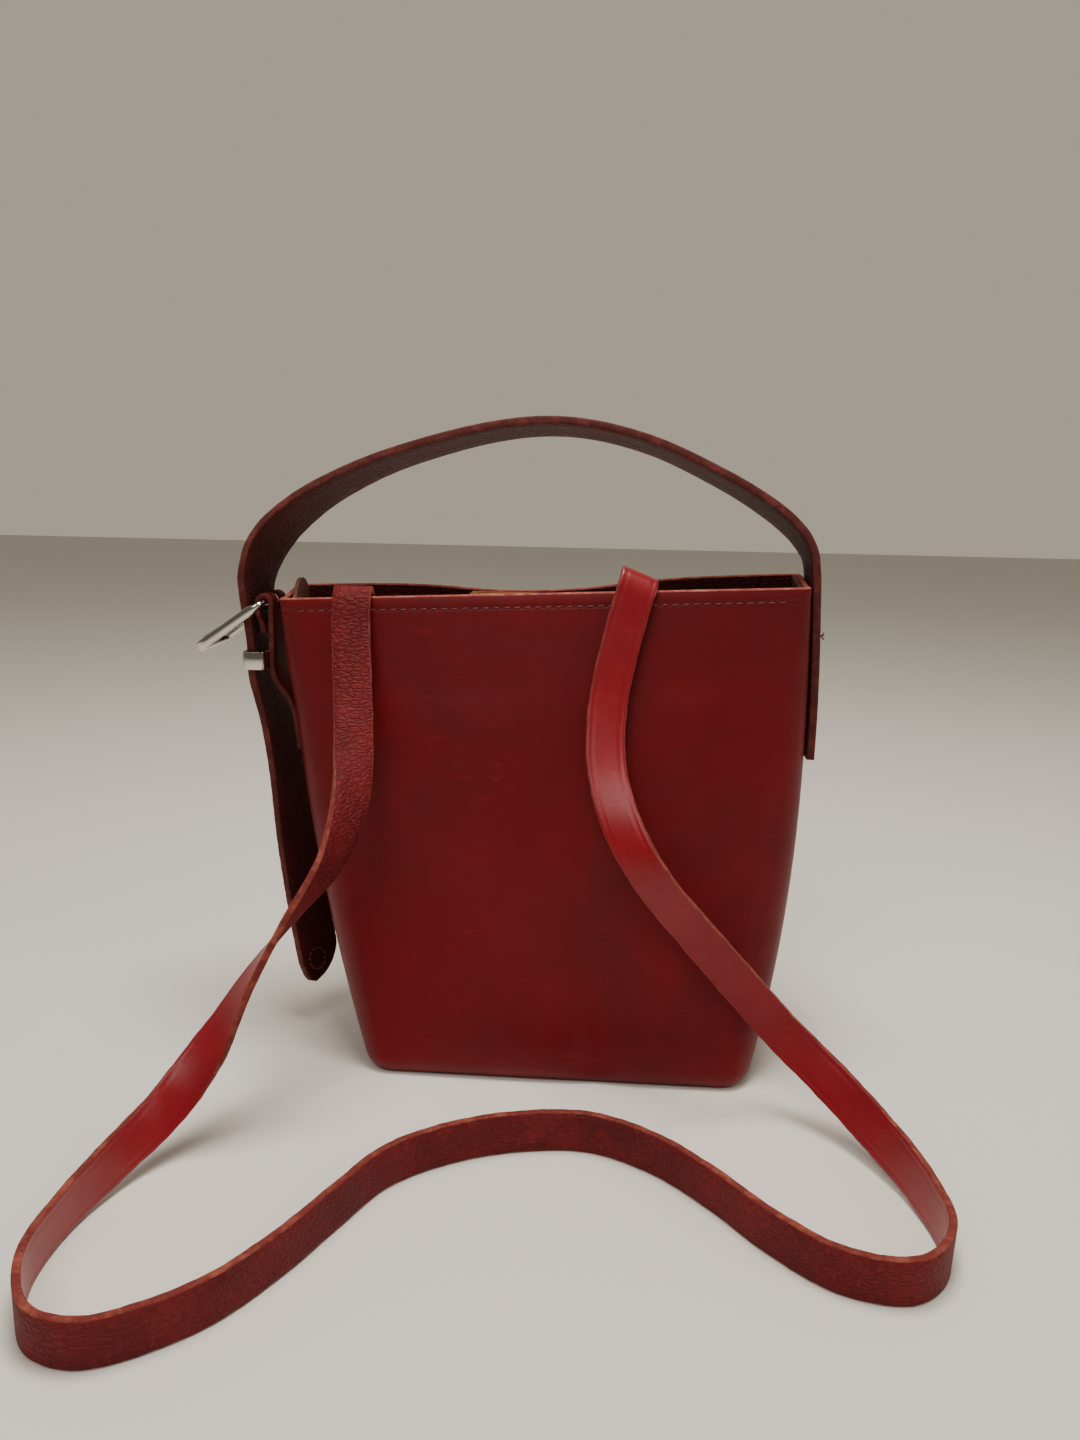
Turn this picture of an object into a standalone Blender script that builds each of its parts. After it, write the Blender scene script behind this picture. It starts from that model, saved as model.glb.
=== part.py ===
"""A small structured bucket bag in thick raw-edged leather, with a buckled top handle and a long shoulder strap.

Metres, +Z up. The origin is the centre of the base on the table, the front faces -Y, and +X is to the right seen from
the front.
"""

import math

import bmesh
import bpy
from mathutils import Matrix, Vector

# Body: a tapering bag on a boxed base, leaning a little to -X, with its rim higher on the +X side.
BODY_HEIGHT = 0.184
BASE_HALF_WIDTH, RIM_HALF_WIDTH = 0.0730, 0.1000
BASE_HALF_DEPTH, RIM_HALF_DEPTH = 0.048, 0.016
FLANK_CURVE, LEAN_CURVE = 2.6, 1.1
LEATHER = 0.002
RIM_SHIFT_X = -0.0100
RIM_TILT = math.radians(2.6)
BASE_FOLD_RADIUS = 0.006
RIM_CORNER_RADIUS, BASE_CORNER_RADIUS, SOFT_CORNER_RADIUS = 0.003, 0.010, 0.008
FACE_BULGE = 0.006
PINCH_DEPTH, PINCH_HALF_WIDTH, PINCH_X, PINCH_START = 0.0145, 0.040, -0.002, 0.45
PINCH_DROP = 0.0034
BACK_RISE, BACK_RISE_RUN = 0.0030, 0.016
GAP = 0.0003
SEAM_SLIT, SEAM_LOW = 0.0004, 0.0072
FLANK_SEAM_CUT = (0.080, 0.260)
BASE_SEAM_CUT, BASE_SEAM_X = (0.060, 0.062), 0.085
BASE_CENTRE = (0.004, 0.003)
FACE_STEPS, CORNER_STEPS, FLANK_STEPS, FOLD_STEPS, WALL_STEPS = 16, 5, 3, 4, 12

# Straps and small leather pieces.
HANDLE_WIDTH, HANDLE_THICK = 0.022, 0.003
HANDLE_LEAN = math.radians(10)
ANCHOR_LOW, ANCHOR_LIFT = 0.1215, 0.0010
SHOULDER_WIDTH, SHOULDER_THICK = 0.0145, 0.0025
TAB_WIDTH, TAB_THICK = 0.019, 0.002
FACING_THICK, FACING_DEPTH = 0.0012, 0.030
BOARD_THICK, BOARD_MARGIN = 0.0018, 0.0042
PATCH_WIDTH, PATCH_DEPTH, PATCH_THICK, PATCH_X = 0.050, 0.045, 0.002, -0.013
PATCH_CORNER, PATCH_DROP = 0.012, 0.0004
BACKING_HALF_WIDTH, BACKING_THICK, BACKING_DROP = 0.0090, 0.0015, 0.0005
BACKING_HEIGHT_LEFT, BACKING_HEIGHT_RIGHT, BACKING_CROWN_LEFT = 0.062, 0.064, 0.0055
STRAP_ANCHOR_HALF_SPAN, STRAP_ANCHOR_Z, STRAP_ANCHOR_THICK = 0.13, (0.1555, 0.1735), 0.0015
STRAP_ANCHOR_LEFT, STRAP_ANCHOR_RIGHT = -0.77, 0.37
TIP_LENGTH, TIP_LEAST = 0.014, 0.30
PRONG_HOLE_AT, PRONG_HOLE_SIZE = (-0.1256, 0, 0.1752), (0.012, 0.0042, 0.0070)
PRONG_SLOT_Z, PRONG_SLOT_SIZE = 0.1795, (0.012, 0.0050, 0.0120)

# Hardware.
BAR_X, BAR_Z, BAR_RADIUS = -0.1191, 0.1770, 0.0013
FRAME_TILT = math.radians(35.2)
FRAME_REACH, FRAME_WIDTH, FRAME_CORNER, FRAME_HALF_HEIGHT = 0.0307, 0.0284, 0.0035, 0.0019
KEEPER_BOX_X, KEEPER_HALF_Y, KEEPER_BOX_Z = (-0.1276, -0.1180), 0.0138, (0.1510, 0.1580)
KEEPER_WALL, KEEPER_CORNER = 0.0009, 0.0028
PRONG_WIDTH, PRONG_THICK, PRONG_CURL = 0.0030, 0.0013, 0.0007
SNAP_RADIUS, SNAP_THICK, SNAP_DROP = 0.0070, 0.0020, 0.020
SNAP_PLATE_RADIUS, SNAP_PLATE_THICK = 0.0055, 0.0008

# Joint places: the handle's axis runs through both roots, and the tail hangs from just below the keeper.
HANDLE_ROOT_LEFT, HANDLE_ROOT_RIGHT = Vector((-0.1262, 0, 0.1920)), Vector((0.0932, 0, 0.2005))
TAIL_PIVOT = Vector((-0.1232, 0, 0.1472))
ROOT_CLEARANCE = 0.0004

# Paths of the strips at y 0, as (x, z) points, with their twist about Z in degrees.
CROWN_PATH = (
    (-0.1185, 0.2040),
    (-0.0985, 0.2180),
    (-0.0700, 0.2305),
    (-0.0320, 0.2425),
    (-0.0020, 0.2458),
    (0.0280, 0.2400),
    (0.0580, 0.2275),
    (0.0780, 0.2165),
    (0.0900, 0.2085),
)
ARCH_TWISTS = (8, 10, 16, 16, 10, 4, 0, 0, -2, -6, -3, 0, 0)
RUN_PATH = ((-0.1256, 0.1740), (-0.1244, 0.1660), (-0.1241, 0.1560), (-0.1238, 0.1493))
RUN_TWISTS = (8, 6, 3, 2, 2)
TAIL_PATH = (
    (-0.1232, 0.1472),
    (-0.1210, 0.1400),
    (-0.1174, 0.1280),
    (-0.1140, 0.1085),
    (-0.1110, 0.0792),
    (-0.1070, 0.0504),
    (-0.1030, 0.0270),
    (-0.1013, 0.0188),
)
TAIL_TWISTS = (2, 3, 5, 8, 12, 18, 23, 25)
TAB_PATH_UP = (
    (-0.1062, 0.1190),
    (-0.1070, 0.1260),
    (-0.1080, 0.1330),
    (-0.1104, 0.1395),
    (-0.1145, 0.1450),
    (-0.1165, 0.1505),
    (-0.1166, 0.1600),
    (-0.1166, 0.1670),
)
TAB_PATH_DOWN = ((-0.1202, 0.1685), (-0.1196, 0.1650))
TAB_LOOP_Z = 0.1730
PRONG_PATH = ((0.0060, 0.0025), (0.0150, 0.0024), (0.0250, 0.0028), (0.0325, 0.0031))


# Centre points and the direction of the width, from the end inside the mouth on the -X side to the other end. It comes
# over the front rim, down the front, turns on edge, lies in a loop on the table and climbs the front again.
SHOULDER_ROUTE = (
    ((-0.0822, -0.0131, 0.1570), (1.0, 0.0, 0.0)),
    ((-0.0822, -0.0107, 0.1760), (1.0, 0.0, 0.0)),
    ((-0.0822, -0.0102, 0.1800), (1.0, 0.0, 0.0)),
    ((-0.0822, -0.0150, 0.1838), (1.0, 0.0, 0.0)),
    ((-0.0821, -0.0188, 0.1802), (1.0, 0.0, 0.0)),
    ((-0.0819, -0.0215, 0.1690), (1.0, 0.0, 0.0)),
    ((-0.0800, -0.0285, 0.1490), (1.0, 0.1, 0.0)),
    ((-0.0775, -0.0390, 0.1295), (0.95, 0.30, -0.08)),
    ((-0.0755, -0.0535, 0.1115), (0.75, 0.55, -0.35)),
    ((-0.0795, -0.0670, 0.0930), (0.38, 0.80, -0.42)),
    ((-0.0920, -0.0765, 0.0745), (0.00, 0.95, -0.25)),
    ((-0.1045, -0.0850, 0.0550), (-0.25, 0.88, 0.15)),
    ((-0.1150, -0.0940, 0.0350), (-0.35, 0.60, 0.60)),
    ((-0.1265, -0.1055, 0.0185), (-0.35, 0.28, 0.88)),
    ((-0.1365, -0.1235, 0.0105), (-0.20, 0.08, 0.97)),
    ((-0.1418, -0.1465, 0.0080), (0.0, 0.0, 1.0)),
    ((-0.1412, -0.1700, 0.0076), (0.0, 0.0, 1.0)),
    ((-0.1315, -0.1890, 0.0076), (0.0, 0.0, 1.0)),
    ((-0.1185, -0.1950, 0.0076), (0.0, 0.0, 1.0)),
    ((-0.1050, -0.1918, 0.0076), (0.0, 0.0, 1.0)),
    ((-0.0866, -0.1779, 0.0076), (0.0, 0.0, 1.0)),
    ((-0.0730, -0.1579, 0.0076), (0.0, 0.0, 1.0)),
    ((-0.0622, -0.1362, 0.0076), (0.0, 0.0, 1.0)),
    ((-0.0508, -0.1149, 0.0076), (0.0, 0.0, 1.0)),
    ((-0.0321, -0.1002, 0.0076), (0.0, 0.0, 1.0)),
    ((-0.0095, -0.0915, 0.0076), (0.0, 0.0, 1.0)),
    ((0.0144, -0.0897, 0.0076), (0.0, 0.0, 1.0)),
    ((0.0360, -0.1000, 0.0076), (0.0, 0.0, 1.0)),
    ((0.0535, -0.1167, 0.0076), (0.0, 0.0, 1.0)),
    ((0.0690, -0.1354, 0.0076), (0.0, 0.0, 1.0)),
    ((0.0871, -0.1504, 0.0076), (0.0, 0.0, 1.0)),
    ((0.1080, -0.1525, 0.0076), (0.0, 0.0, 1.0)),
    ((0.1212, -0.1360, 0.0076), (0.05, 0.0, 1.0)),
    ((0.1195, -0.1100, 0.0086), (0.20, 0.0, 0.98)),
    ((0.1104, -0.0865, 0.0125), (0.42, 0.05, 0.90)),
    ((0.0977, -0.0690, 0.0205), (0.60, 0.05, 0.79)),
    ((0.0820, -0.0590, 0.0325), (0.68, 0.0, 0.72)),
    ((0.0660, -0.0555, 0.0490), (0.72, -0.10, 0.68)),
    ((0.0502, -0.0565, 0.0670), (0.74, -0.20, 0.64)),
    ((0.0345, -0.0570, 0.0855), (0.78, -0.28, 0.55)),
    ((0.0225, -0.0490, 0.1040), (0.88, -0.10, 0.28)),
    ((0.0160, -0.0375, 0.1235), (0.97, 0.05, 0.0)),
    ((0.0160, -0.0283, 0.1455), (0.97, 0.05, -0.12)),
    ((0.0205, -0.0232, 0.1690), (0.97, 0.02, -0.24)),
    ((0.0240, -0.0206, 0.1828), (0.94, 0.0, -0.34)),
    ((0.0256, -0.0192, 0.1882), (0.91, 0.0, -0.40)),
    ((0.0262, -0.0150, 0.1914), (0.91, 0.0, -0.40)),
    ((0.0262, -0.0104, 0.1878), (0.97, 0.0, -0.22)),
    ((0.0262, -0.0109, 0.1820), (1.0, 0.0, 0.0)),
    ((0.0262, -0.0140, 0.1610), (1.0, 0.0, 0.0)),
)

COLLECTION = "bucket_bag"


def clear_scene():
    for obj in list(bpy.data.objects):
        bpy.data.objects.remove(obj, do_unlink=True)


def make_collection(name):
    found = bpy.data.collections.new(name)
    bpy.context.scene.collection.children.link(found)
    return found


def material(name, colour, roughness, metallic=0.0):
    mat = bpy.data.materials.new(name)
    mat.use_nodes = True
    shader = mat.node_tree.nodes["Principled BSDF"]
    shader.inputs["Base Color"].default_value = (*colour, 1)
    shader.inputs["Roughness"].default_value = roughness
    shader.inputs["Metallic"].default_value = metallic
    mat.diffuse_color = (*colour, 1)
    return mat


def leather(name, colour=(0.16, 0.006, 0.008), roughness=0.45):
    return material(name + "_leather", colour, roughness)


def metal(name):
    return material(name + "_nickel", (0.78, 0.76, 0.72), 0.18, 1.0)


def add_mesh(name, points, faces, mat, origin=None):
    """A mesh object with outward faces, its origin at the given point."""
    origin = Vector(origin or (0, 0, 0))
    mesh = bpy.data.meshes.new(name)
    mesh.from_pydata([Vector(p) - origin for p in points], [], faces)
    work = bmesh.new()
    work.from_mesh(mesh)
    bmesh.ops.recalc_face_normals(work, faces=work.faces)
    work.to_mesh(mesh)
    work.free()
    mesh.materials.append(mat)
    mesh.set_sharp_from_angle(angle=math.radians(35))
    obj = bpy.data.objects.new(name, mesh)
    obj.location = origin
    PARTS.objects.link(obj)
    return obj


def ring_faces(rings, count, closed_rings=False):
    """Quads between neighbouring rings of the same number of points."""
    faces = []
    for i in range(rings if closed_rings else rings - 1):
        for k in range(count):
            a, b = i * count, ((i + 1) % rings) * count
            faces.append((a + k, a + (k + 1) % count, b + (k + 1) % count, b + k))
    return faces


def curve_value(t, a, b, c, d):
    """The Catmull-Rom value a part t of the way from b to c."""
    square, cube = 2 * a - 5 * b + 4 * c - d, 3 * b - a - 3 * c + d
    return 0.5 * (2 * b + (c - a) * t + square * t * t + cube * t**3)


def smooth_line(points, step):
    """Evenly spaced points on a Catmull-Rom curve. The first three numbers of a control point are x, y, z."""
    points = [tuple(p) for p in points]
    ends = [tuple(2 * a - b for a, b in zip(points[i], points[j])) for i, j in ((0, 1), (-1, -2))]
    guide = [ends[0], *points, ends[1]]
    dense = []
    for i in range(1, len(guide) - 2):
        for j in range(40):
            dense.append(tuple(curve_value(j / 40, *values) for values in zip(*guide[i - 1 : i + 3])))
    dense.append(points[-1])
    along = [0.0]
    for a, b in zip(dense, dense[1:]):
        along.append(along[-1] + (Vector(b[:3]) - Vector(a[:3])).length)
    count = max(2, round(along[-1] / step))
    found, i = [], 0
    for k in range(count + 1):
        goal = along[-1] * k / count
        while i < len(along) - 2 and along[i + 1] < goal:
            i += 1
        part = (goal - along[i]) / max(along[i + 1] - along[i], 1e-9)
        found.append(tuple(a + (b - a) * min(part, 1) for a, b in zip(dense[i], dense[i + 1])))
    return found


def strip_mesh(line, thick, half_width):
    """Points and faces of a flat strip. line holds (x, y, z, wx, wy, wz): a centre point and the width's direction."""
    centres = [Vector(p[:3]) for p in line]
    points, run = [], 0.0
    for i, centre in enumerate(centres):
        if i:
            run += (centre - centres[i - 1]).length
        along = (centres[min(i + 1, len(line) - 1)] - centres[max(i - 1, 0)]).normalized()
        wide = Vector(line[i][3:6])
        wide = (wide - along * wide.dot(along)).normalized()
        normal = wide.cross(along)
        for a, b in ((-1, -1), (1, -1), (1, 1), (-1, 1)):
            points.append(centre + wide * a * half_width(run) + normal * b * thick / 2)
    last = 4 * (len(line) - 1)
    faces = ring_faces(len(line), 4) + [(3, 2, 1, 0), (last, last + 1, last + 2, last + 3)]
    return points, faces


def strip(name, line, width, thick, mat, origin=None, half_width=None):
    points, faces = strip_mesh(line, thick, half_width or (lambda run: width / 2))
    return add_mesh(name, points, faces, mat, origin)


def rounded_width(half, total, round_start, round_end, least=0.0008):
    """The half width along a strip whose ends are half discs."""

    def found(run):
        ends = [run] * round_start + [total - run] * round_end
        near = min([d for d in ends if d < half], default=half)
        return max(least, math.sqrt(max(0.0, half**2 - (half - near) ** 2)))

    return found


def length_of(line):
    return sum((Vector(b[:3]) - Vector(a[:3])).length for a, b in zip(line, line[1:]))


# The body's surface ------------------------------------------------------------------------------------------------


def body_size(level, inset):
    """Half width, half depth at the corners, corner radius and face bulge at a level from 0, base, to 1, rim."""
    swell = 4 * level * (1 - level)
    half_width = BASE_HALF_WIDTH + (RIM_HALF_WIDTH - BASE_HALF_WIDTH) * (1 - max(1 - level, 0) ** FLANK_CURVE)
    bulge = FACE_BULGE * swell
    half_depth = BASE_HALF_DEPTH + (RIM_HALF_DEPTH - BASE_HALF_DEPTH) * level - bulge
    radius = RIM_CORNER_RADIUS + (BASE_CORNER_RADIUS - RIM_CORNER_RADIUS) * (1 - level) + SOFT_CORNER_RADIUS * swell
    return half_width - inset, half_depth - inset, max(radius - inset, 0.0006), bulge


def pinch(x, level):
    """How far the back is drawn in by the closed snap, from 0 to 1."""
    part = min(max((level - PINCH_START) / (1 - PINCH_START), 0.0), 1.0)
    return part * part * (3 - 2 * part) * math.exp(-(((x - PINCH_X) / PINCH_HALF_WIDTH) ** 2))


def place(x, y, z):
    """The body's lean and the rim's tilt, applied to a point of the upright body. The base stays flat."""
    level = max(z - BASE_FOLD_RADIUS, 0) / (BODY_HEIGHT - BASE_FOLD_RADIUS)
    back = min(max(0.5 + y / BACK_RISE_RUN, 0.0), 1.0)
    rise = back * (BACK_RISE * level**3 - PINCH_DROP * pinch(x, level))
    return Vector((x + RIM_SHIFT_X * level**LEAN_CURVE, y, z + level * x * math.tan(RIM_TILT) + rise))


def face_point(across, z, inset, side):
    """A point on the front (side -1) or the back (side 1). across runs from -1 to 1 between the corners' curves."""
    level = z / BODY_HEIGHT
    half_width, half_depth, radius, bulge = body_size(level, inset)
    x = across * (half_width - radius)
    y = half_depth + bulge * (1 - across**2)
    if side > 0:
        y -= PINCH_DEPTH * pinch(x, level)
    return place(x, side * y, z)


def flank_point(y, z, inset, side):
    """A point on the body's -X (side -1) or +X (side 1) flank."""
    half_width = body_size(z / BODY_HEIGHT, inset)[0]
    return place(side * half_width, y, z)


def body_ring(z, inset, extra):
    """One closed ring of the body's wall. extra draws it in further, in the fold round the base."""
    level = z / BODY_HEIGHT
    half_width, half_depth, radius, bulge = body_size(level, inset + extra)
    flat_x, flat_y = half_width - radius, half_depth - radius
    ring = []
    for side in (-1, 1):
        for i in range(FACE_STEPS + 1):
            across = side * (2 * i / FACE_STEPS - 1)
            x = across * flat_x
            y = half_depth + bulge * (1 - across**2) - PINCH_DEPTH * pinch(x, level) * (side > 0)
            ring.append((x, side * y))
        for i in range(1, CORNER_STEPS):
            turn = math.pi / 2 * i / CORNER_STEPS
            ring.append((side * (flat_x + radius * math.sin(turn)), side * (flat_y + radius * math.cos(turn))))
        for i in range(FLANK_STEPS + 1):
            ring.append((side * half_width, side * flat_y * (1 - 2 * i / FLANK_STEPS)))
        for i in range(1, CORNER_STEPS):
            turn = math.pi / 2 * (1 - i / CORNER_STEPS)
            ring.append((side * (flat_x + radius * math.sin(turn)), -side * (flat_y + radius * math.cos(turn))))
    return [place(x, y, z) for x, y in ring]


def body_rings(inset):
    """The rings of the outer (inset 0) or inner wall, from the base to the rim."""
    radius = BASE_FOLD_RADIUS - inset
    rings = []
    for i in range(FOLD_STEPS):
        turn = math.pi / 2 * i / FOLD_STEPS
        rings.append(body_ring(BASE_FOLD_RADIUS - radius * math.cos(turn), inset, radius * (1 - math.sin(turn))))
    for i in range(WALL_STEPS + 1):
        rings.append(body_ring(BASE_FOLD_RADIUS + (BODY_HEIGHT - BASE_FOLD_RADIUS) * i / WALL_STEPS, inset, 0))
    return rings


def body_wrap():
    """One piece of leather folded under the base, with open seams up both flanks and at both ends of the base."""
    outer, inner = body_rings(0), body_rings(LEATHER)
    rings = outer + inner[::-1]
    count = len(rings[0])
    last = count * (len(rings) - 1)
    faces = ring_faces(len(rings), count)
    points = [p for ring in rings for p in ring]
    for first, z in ((0, 0.0), (last, LEATHER)):
        faces += [(len(points), first + k, first + (k + 1) % count) for k in range(count)]
        points.append((*BASE_CENTRE, z))
    wrap = add_mesh("body_wrap", points, faces, leather("body_wrap"))
    deep, high = FLANK_SEAM_CUT
    for side, word in ((-1, "left"), (1, "right")):
        centre = (side * RIM_HALF_WIDTH, 0, SEAM_LOW + high / 2)
        cut(wrap, f"flank_seam_{word}", centre, (deep, SEAM_SLIT, high))
        cut(wrap, f"base_seam_{word}", (side * BASE_SEAM_X, 0, SEAM_LOW), (*BASE_SEAM_CUT, SEAM_SLIT))
    return wrap


def cut(obj, name, centre, size):
    """Cuts a box from an object with a Boolean modifier."""
    bpy.ops.mesh.primitive_cube_add(size=1, location=centre)
    cutter = bpy.context.active_object
    cutter.name = "cut_" + name
    cutter.data.transform(Matrix.Diagonal((*size, 1)))
    for found in list(cutter.users_collection):
        found.objects.unlink(cutter)
    CUTTERS.objects.link(cutter)
    cutter.hide_render = True
    cutter.display_type = "WIRE"
    modifier = obj.modifiers.new(name, "BOOLEAN")
    modifier.object = cutter
    modifier.operation = "DIFFERENCE"


def wall_patch(name, corners, point, inset, thick, mat, steps=(10, 4), round_top=0.0):
    """A sheet of leather lying along a wall. point(a, z, inset) gives the wall's surface at a place along it."""
    (a0, a1), (z0, z1) = corners
    across, up = steps
    points = []
    for depth in (inset, inset + thick):
        for j in range(up + 1):
            part = j / up
            for i in range(across + 1):
                a = a0 + (a1 - a0) * i / across
                crown = round_top * (1 - (2 * i / across - 1) ** 2)
                points.append(point(a, z0 + (z1 - z0 + crown) * part, depth))
    row, layer = across + 1, (across + 1) * (up + 1)
    faces = []
    for j in range(up):
        for i in range(across):
            k = j * row + i
            faces.append((k, k + 1, k + row + 1, k + row))
            faces.append((layer + k + row, layer + k + row + 1, layer + k + 1, layer + k))
    edge = [i for i in range(across)] + [j * row + across for j in range(up)]
    edge += [up * row + across - i for i in range(across)] + [(up - j) * row for j in range(up)]
    for k, here in enumerate(edge):
        there = edge[(k + 1) % len(edge)]
        faces.append((here, here + layer, there + layer, there))
    return add_mesh(name, points, faces, mat)


def front_wall(across, z, inset):
    return face_point(across, z, inset, -1)


def back_wall(across, z, inset):
    return face_point(across, z, inset, 1)


def left_flank(y, z, inset):
    return flank_point(y, z, inset, -1)


def right_flank(y, z, inset):
    return flank_point(y, z, inset, 1)


# Inside the body -----------------------------------------------------------------------------------------------------


def base_board():
    """A stiffening board on the floor of the bag."""
    ring = body_ring(BASE_FOLD_RADIUS, LEATHER + BOARD_MARGIN, 0)
    low, high = LEATHER + GAP, LEATHER + GAP + BOARD_THICK
    count = len(ring)
    points = [(p.x, p.y, low) for p in ring] + [(p.x, p.y, high) for p in ring]
    faces = ring_faces(2, count) + [tuple(reversed(range(count))), tuple(range(count, 2 * count))]
    add_mesh("base_board", points, faces, material("base_board_fibre", (0.10, 0.03, 0.02), 0.8))


def facings():
    """Thin leather bands sewn behind the rim."""
    flesh = (0.12, 0.02, 0.016)
    top = BODY_HEIGHT - 0.0006
    steps = FACE_STEPS - 2
    span = (-steps / FACE_STEPS, steps / FACE_STEPS)
    for word, wall in (("front", front_wall), ("back", back_wall)):
        corners = (span, (top - FACING_DEPTH, top))
        name = f"facing_{word}"
        wall_patch(name, corners, wall, LEATHER + GAP, FACING_THICK, leather(name, flesh, 0.75), (steps, 4))


def handle_backings():
    """Reinforcing pieces inside the flanks, behind the tab's and the handle's stitching."""
    flesh = (0.14, 0.045, 0.03)
    top = BODY_HEIGHT - BACKING_DROP
    half = BACKING_HALF_WIDTH
    left = ("left", left_flank, BACKING_HEIGHT_LEFT, BACKING_CROWN_LEFT)
    right = ("right", right_flank, BACKING_HEIGHT_RIGHT, 0.0)
    for word, wall, height, crown in (left, right):
        name = f"handle_backing_{word}"
        corners = ((-half, half), (top - height, top))
        wall_patch(name, corners, wall, LEATHER + GAP, BACKING_THICK, leather(name, flesh, 0.8), (8, 8), crown)


def flat_plate(name, x_range, y_range, z_range, mat, corner):
    """An upright leather plate with rounded lower corners."""
    (x0, x1), (z0, z1) = x_range, z_range
    outline = [(x1, z1), (x0, z1)]
    for centre_x, start in ((x0 + corner, math.pi), (x1 - corner, 1.5 * math.pi)):
        for i in range(7):
            turn = start + math.pi / 2 * i / 6
            outline.append((centre_x + corner * math.cos(turn), z0 + corner + corner * math.sin(turn)))
    count = len(outline)
    points = [(x, y, z) for y in y_range for x, z in outline]
    faces = ring_faces(2, count) + [tuple(range(count)), tuple(reversed(range(count, 2 * count)))]
    return add_mesh(name, points, faces, mat)


def disc(name, centre, radius, thick, mat):
    """A snap's disc, its axis along Y and its rim rounded."""
    bpy.ops.mesh.primitive_cylinder_add(vertices=32, radius=radius, depth=thick, location=centre)
    obj = bpy.context.active_object
    obj.name = name
    obj.rotation_euler = (math.pi / 2, 0, 0)
    obj.data.materials.append(mat)
    bevel = obj.modifiers.new("rim", "BEVEL")
    bevel.width = thick * 0.25
    bevel.segments = 2
    for found in list(obj.users_collection):
        found.objects.unlink(obj)
    PARTS.objects.link(obj)
    return obj


def closure():
    """Two leather patches in the mouth, each with its half of a magnetic snap and a retaining plate."""
    half = PATCH_WIDTH / 2
    top = place(PATCH_X, 0, BODY_HEIGHT).z - PATCH_DROP
    tan = (0.42, 0.13, 0.05)
    step = SNAP_THICK + GAP
    y = -RIM_HALF_DEPTH + LEATHER + 2 * GAP + FACING_THICK
    snap_z = top - SNAP_DROP
    for word, plate_y in (("front", y), ("back", y + PATCH_THICK + GAP + 2 * step)):
        name = f"closure_patch_{word}"
        x_range = (PATCH_X - half, PATCH_X + half)
        y_range = (plate_y, plate_y + PATCH_THICK)
        flat_plate(name, x_range, y_range, (top - PATCH_DEPTH, top), leather(name, tan, 0.7), PATCH_CORNER)
    stud_y = y + PATCH_THICK + GAP + SNAP_THICK / 2
    disc("snap_stud", (PATCH_X, stud_y, snap_z), SNAP_RADIUS, SNAP_THICK, metal("snap_stud"))
    disc("snap_socket", (PATCH_X, stud_y + step, snap_z), SNAP_RADIUS, SNAP_THICK, metal("snap_socket"))
    gap = GAP + SNAP_PLATE_THICK / 2
    for word, at in (("front", y - gap), ("back", y + 2 * PATCH_THICK + GAP + 2 * step + gap)):
        name = f"snap_plate_{word}"
        disc(name, (PATCH_X, at, snap_z), SNAP_PLATE_RADIUS, SNAP_PLATE_THICK, metal(name))


def strap_anchors():
    """Leather patches sewn over the shoulder strap's two ends, inside the front."""
    inset = LEATHER + FACING_THICK + SHOULDER_THICK + 6 * GAP
    half = STRAP_ANCHOR_HALF_SPAN
    for word, centre in (("left", STRAP_ANCHOR_LEFT), ("right", STRAP_ANCHOR_RIGHT)):
        name = f"strap_anchor_{word}"
        corners = ((centre - half, centre + half), STRAP_ANCHOR_Z)
        mat = leather(name, (0.12, 0.02, 0.016), 0.75)
        wall_patch(name, corners, front_wall, inset, STRAP_ANCHOR_THICK, mat, (6, 4))


# The handle ----------------------------------------------------------------------------------------------------------


def upright(points, twists=None):
    """Strip stations from (x, z) points at y 0, the width along Y and turned about Z by a twist in degrees."""
    turns = [math.radians(twist) for twist in twists or [0] * len(points)]
    return [(x, 0.0, z, math.sin(turn), math.cos(turn), 0.0) for (x, z), turn in zip(points, turns)]


def handle_arch():
    """The arch over the mouth, leaning back. Each end is a half disc round the axis through the two roots."""
    low = HANDLE_WIDTH / 2
    left, right = HANDLE_ROOT_LEFT, HANDLE_ROOT_RIGHT
    points = [(left.x, left.z - low), (left.x, left.z), *CROWN_PATH, (right.x, right.z), (right.x, right.z - low)]
    line = smooth_line(upright(points, ARCH_TWISTS), 0.0045)
    width = rounded_width(low, length_of(line), True, True)
    lean = Matrix.Rotation(-HANDLE_LEAN, 4, right - left)
    points, faces = strip_mesh(line, HANDLE_THICK, width)
    points = [left + lean @ (p - left) for p in points]
    add_mesh("handle_arch", points, faces, leather("handle_arch"), left)


def handle_anchor():
    """The handle's end, sewn outside the +X flank with a square end."""
    top = HANDLE_ROOT_RIGHT.z - HANDLE_WIDTH / 2 - ROOT_CLEARANCE
    slope = 1 + RIM_HALF_WIDTH * math.tan(RIM_TILT) / BODY_HEIGHT
    corners = ((-HANDLE_WIDTH / 2, HANDLE_WIDTH / 2), (ANCHOR_LOW / slope, (top - BACK_RISE) / slope))
    mat = leather("handle_anchor")
    wall_patch("handle_anchor", corners, right_flank, -ANCHOR_LIFT - HANDLE_THICK, HANDLE_THICK, mat, (4, 8))


def handle_run():
    """The stretch that runs down through the buckle and the keeper, with the prong's hole."""
    top = HANDLE_ROOT_LEFT.z - HANDLE_WIDTH / 2 - ROOT_CLEARANCE
    line = smooth_line(upright([(HANDLE_ROOT_LEFT.x, top), *RUN_PATH], RUN_TWISTS), 0.0035)
    run = strip("handle_run", line, HANDLE_WIDTH, HANDLE_THICK, leather("handle_run"))
    cut(run, "prong_hole", PRONG_HOLE_AT, PRONG_HOLE_SIZE)


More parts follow.
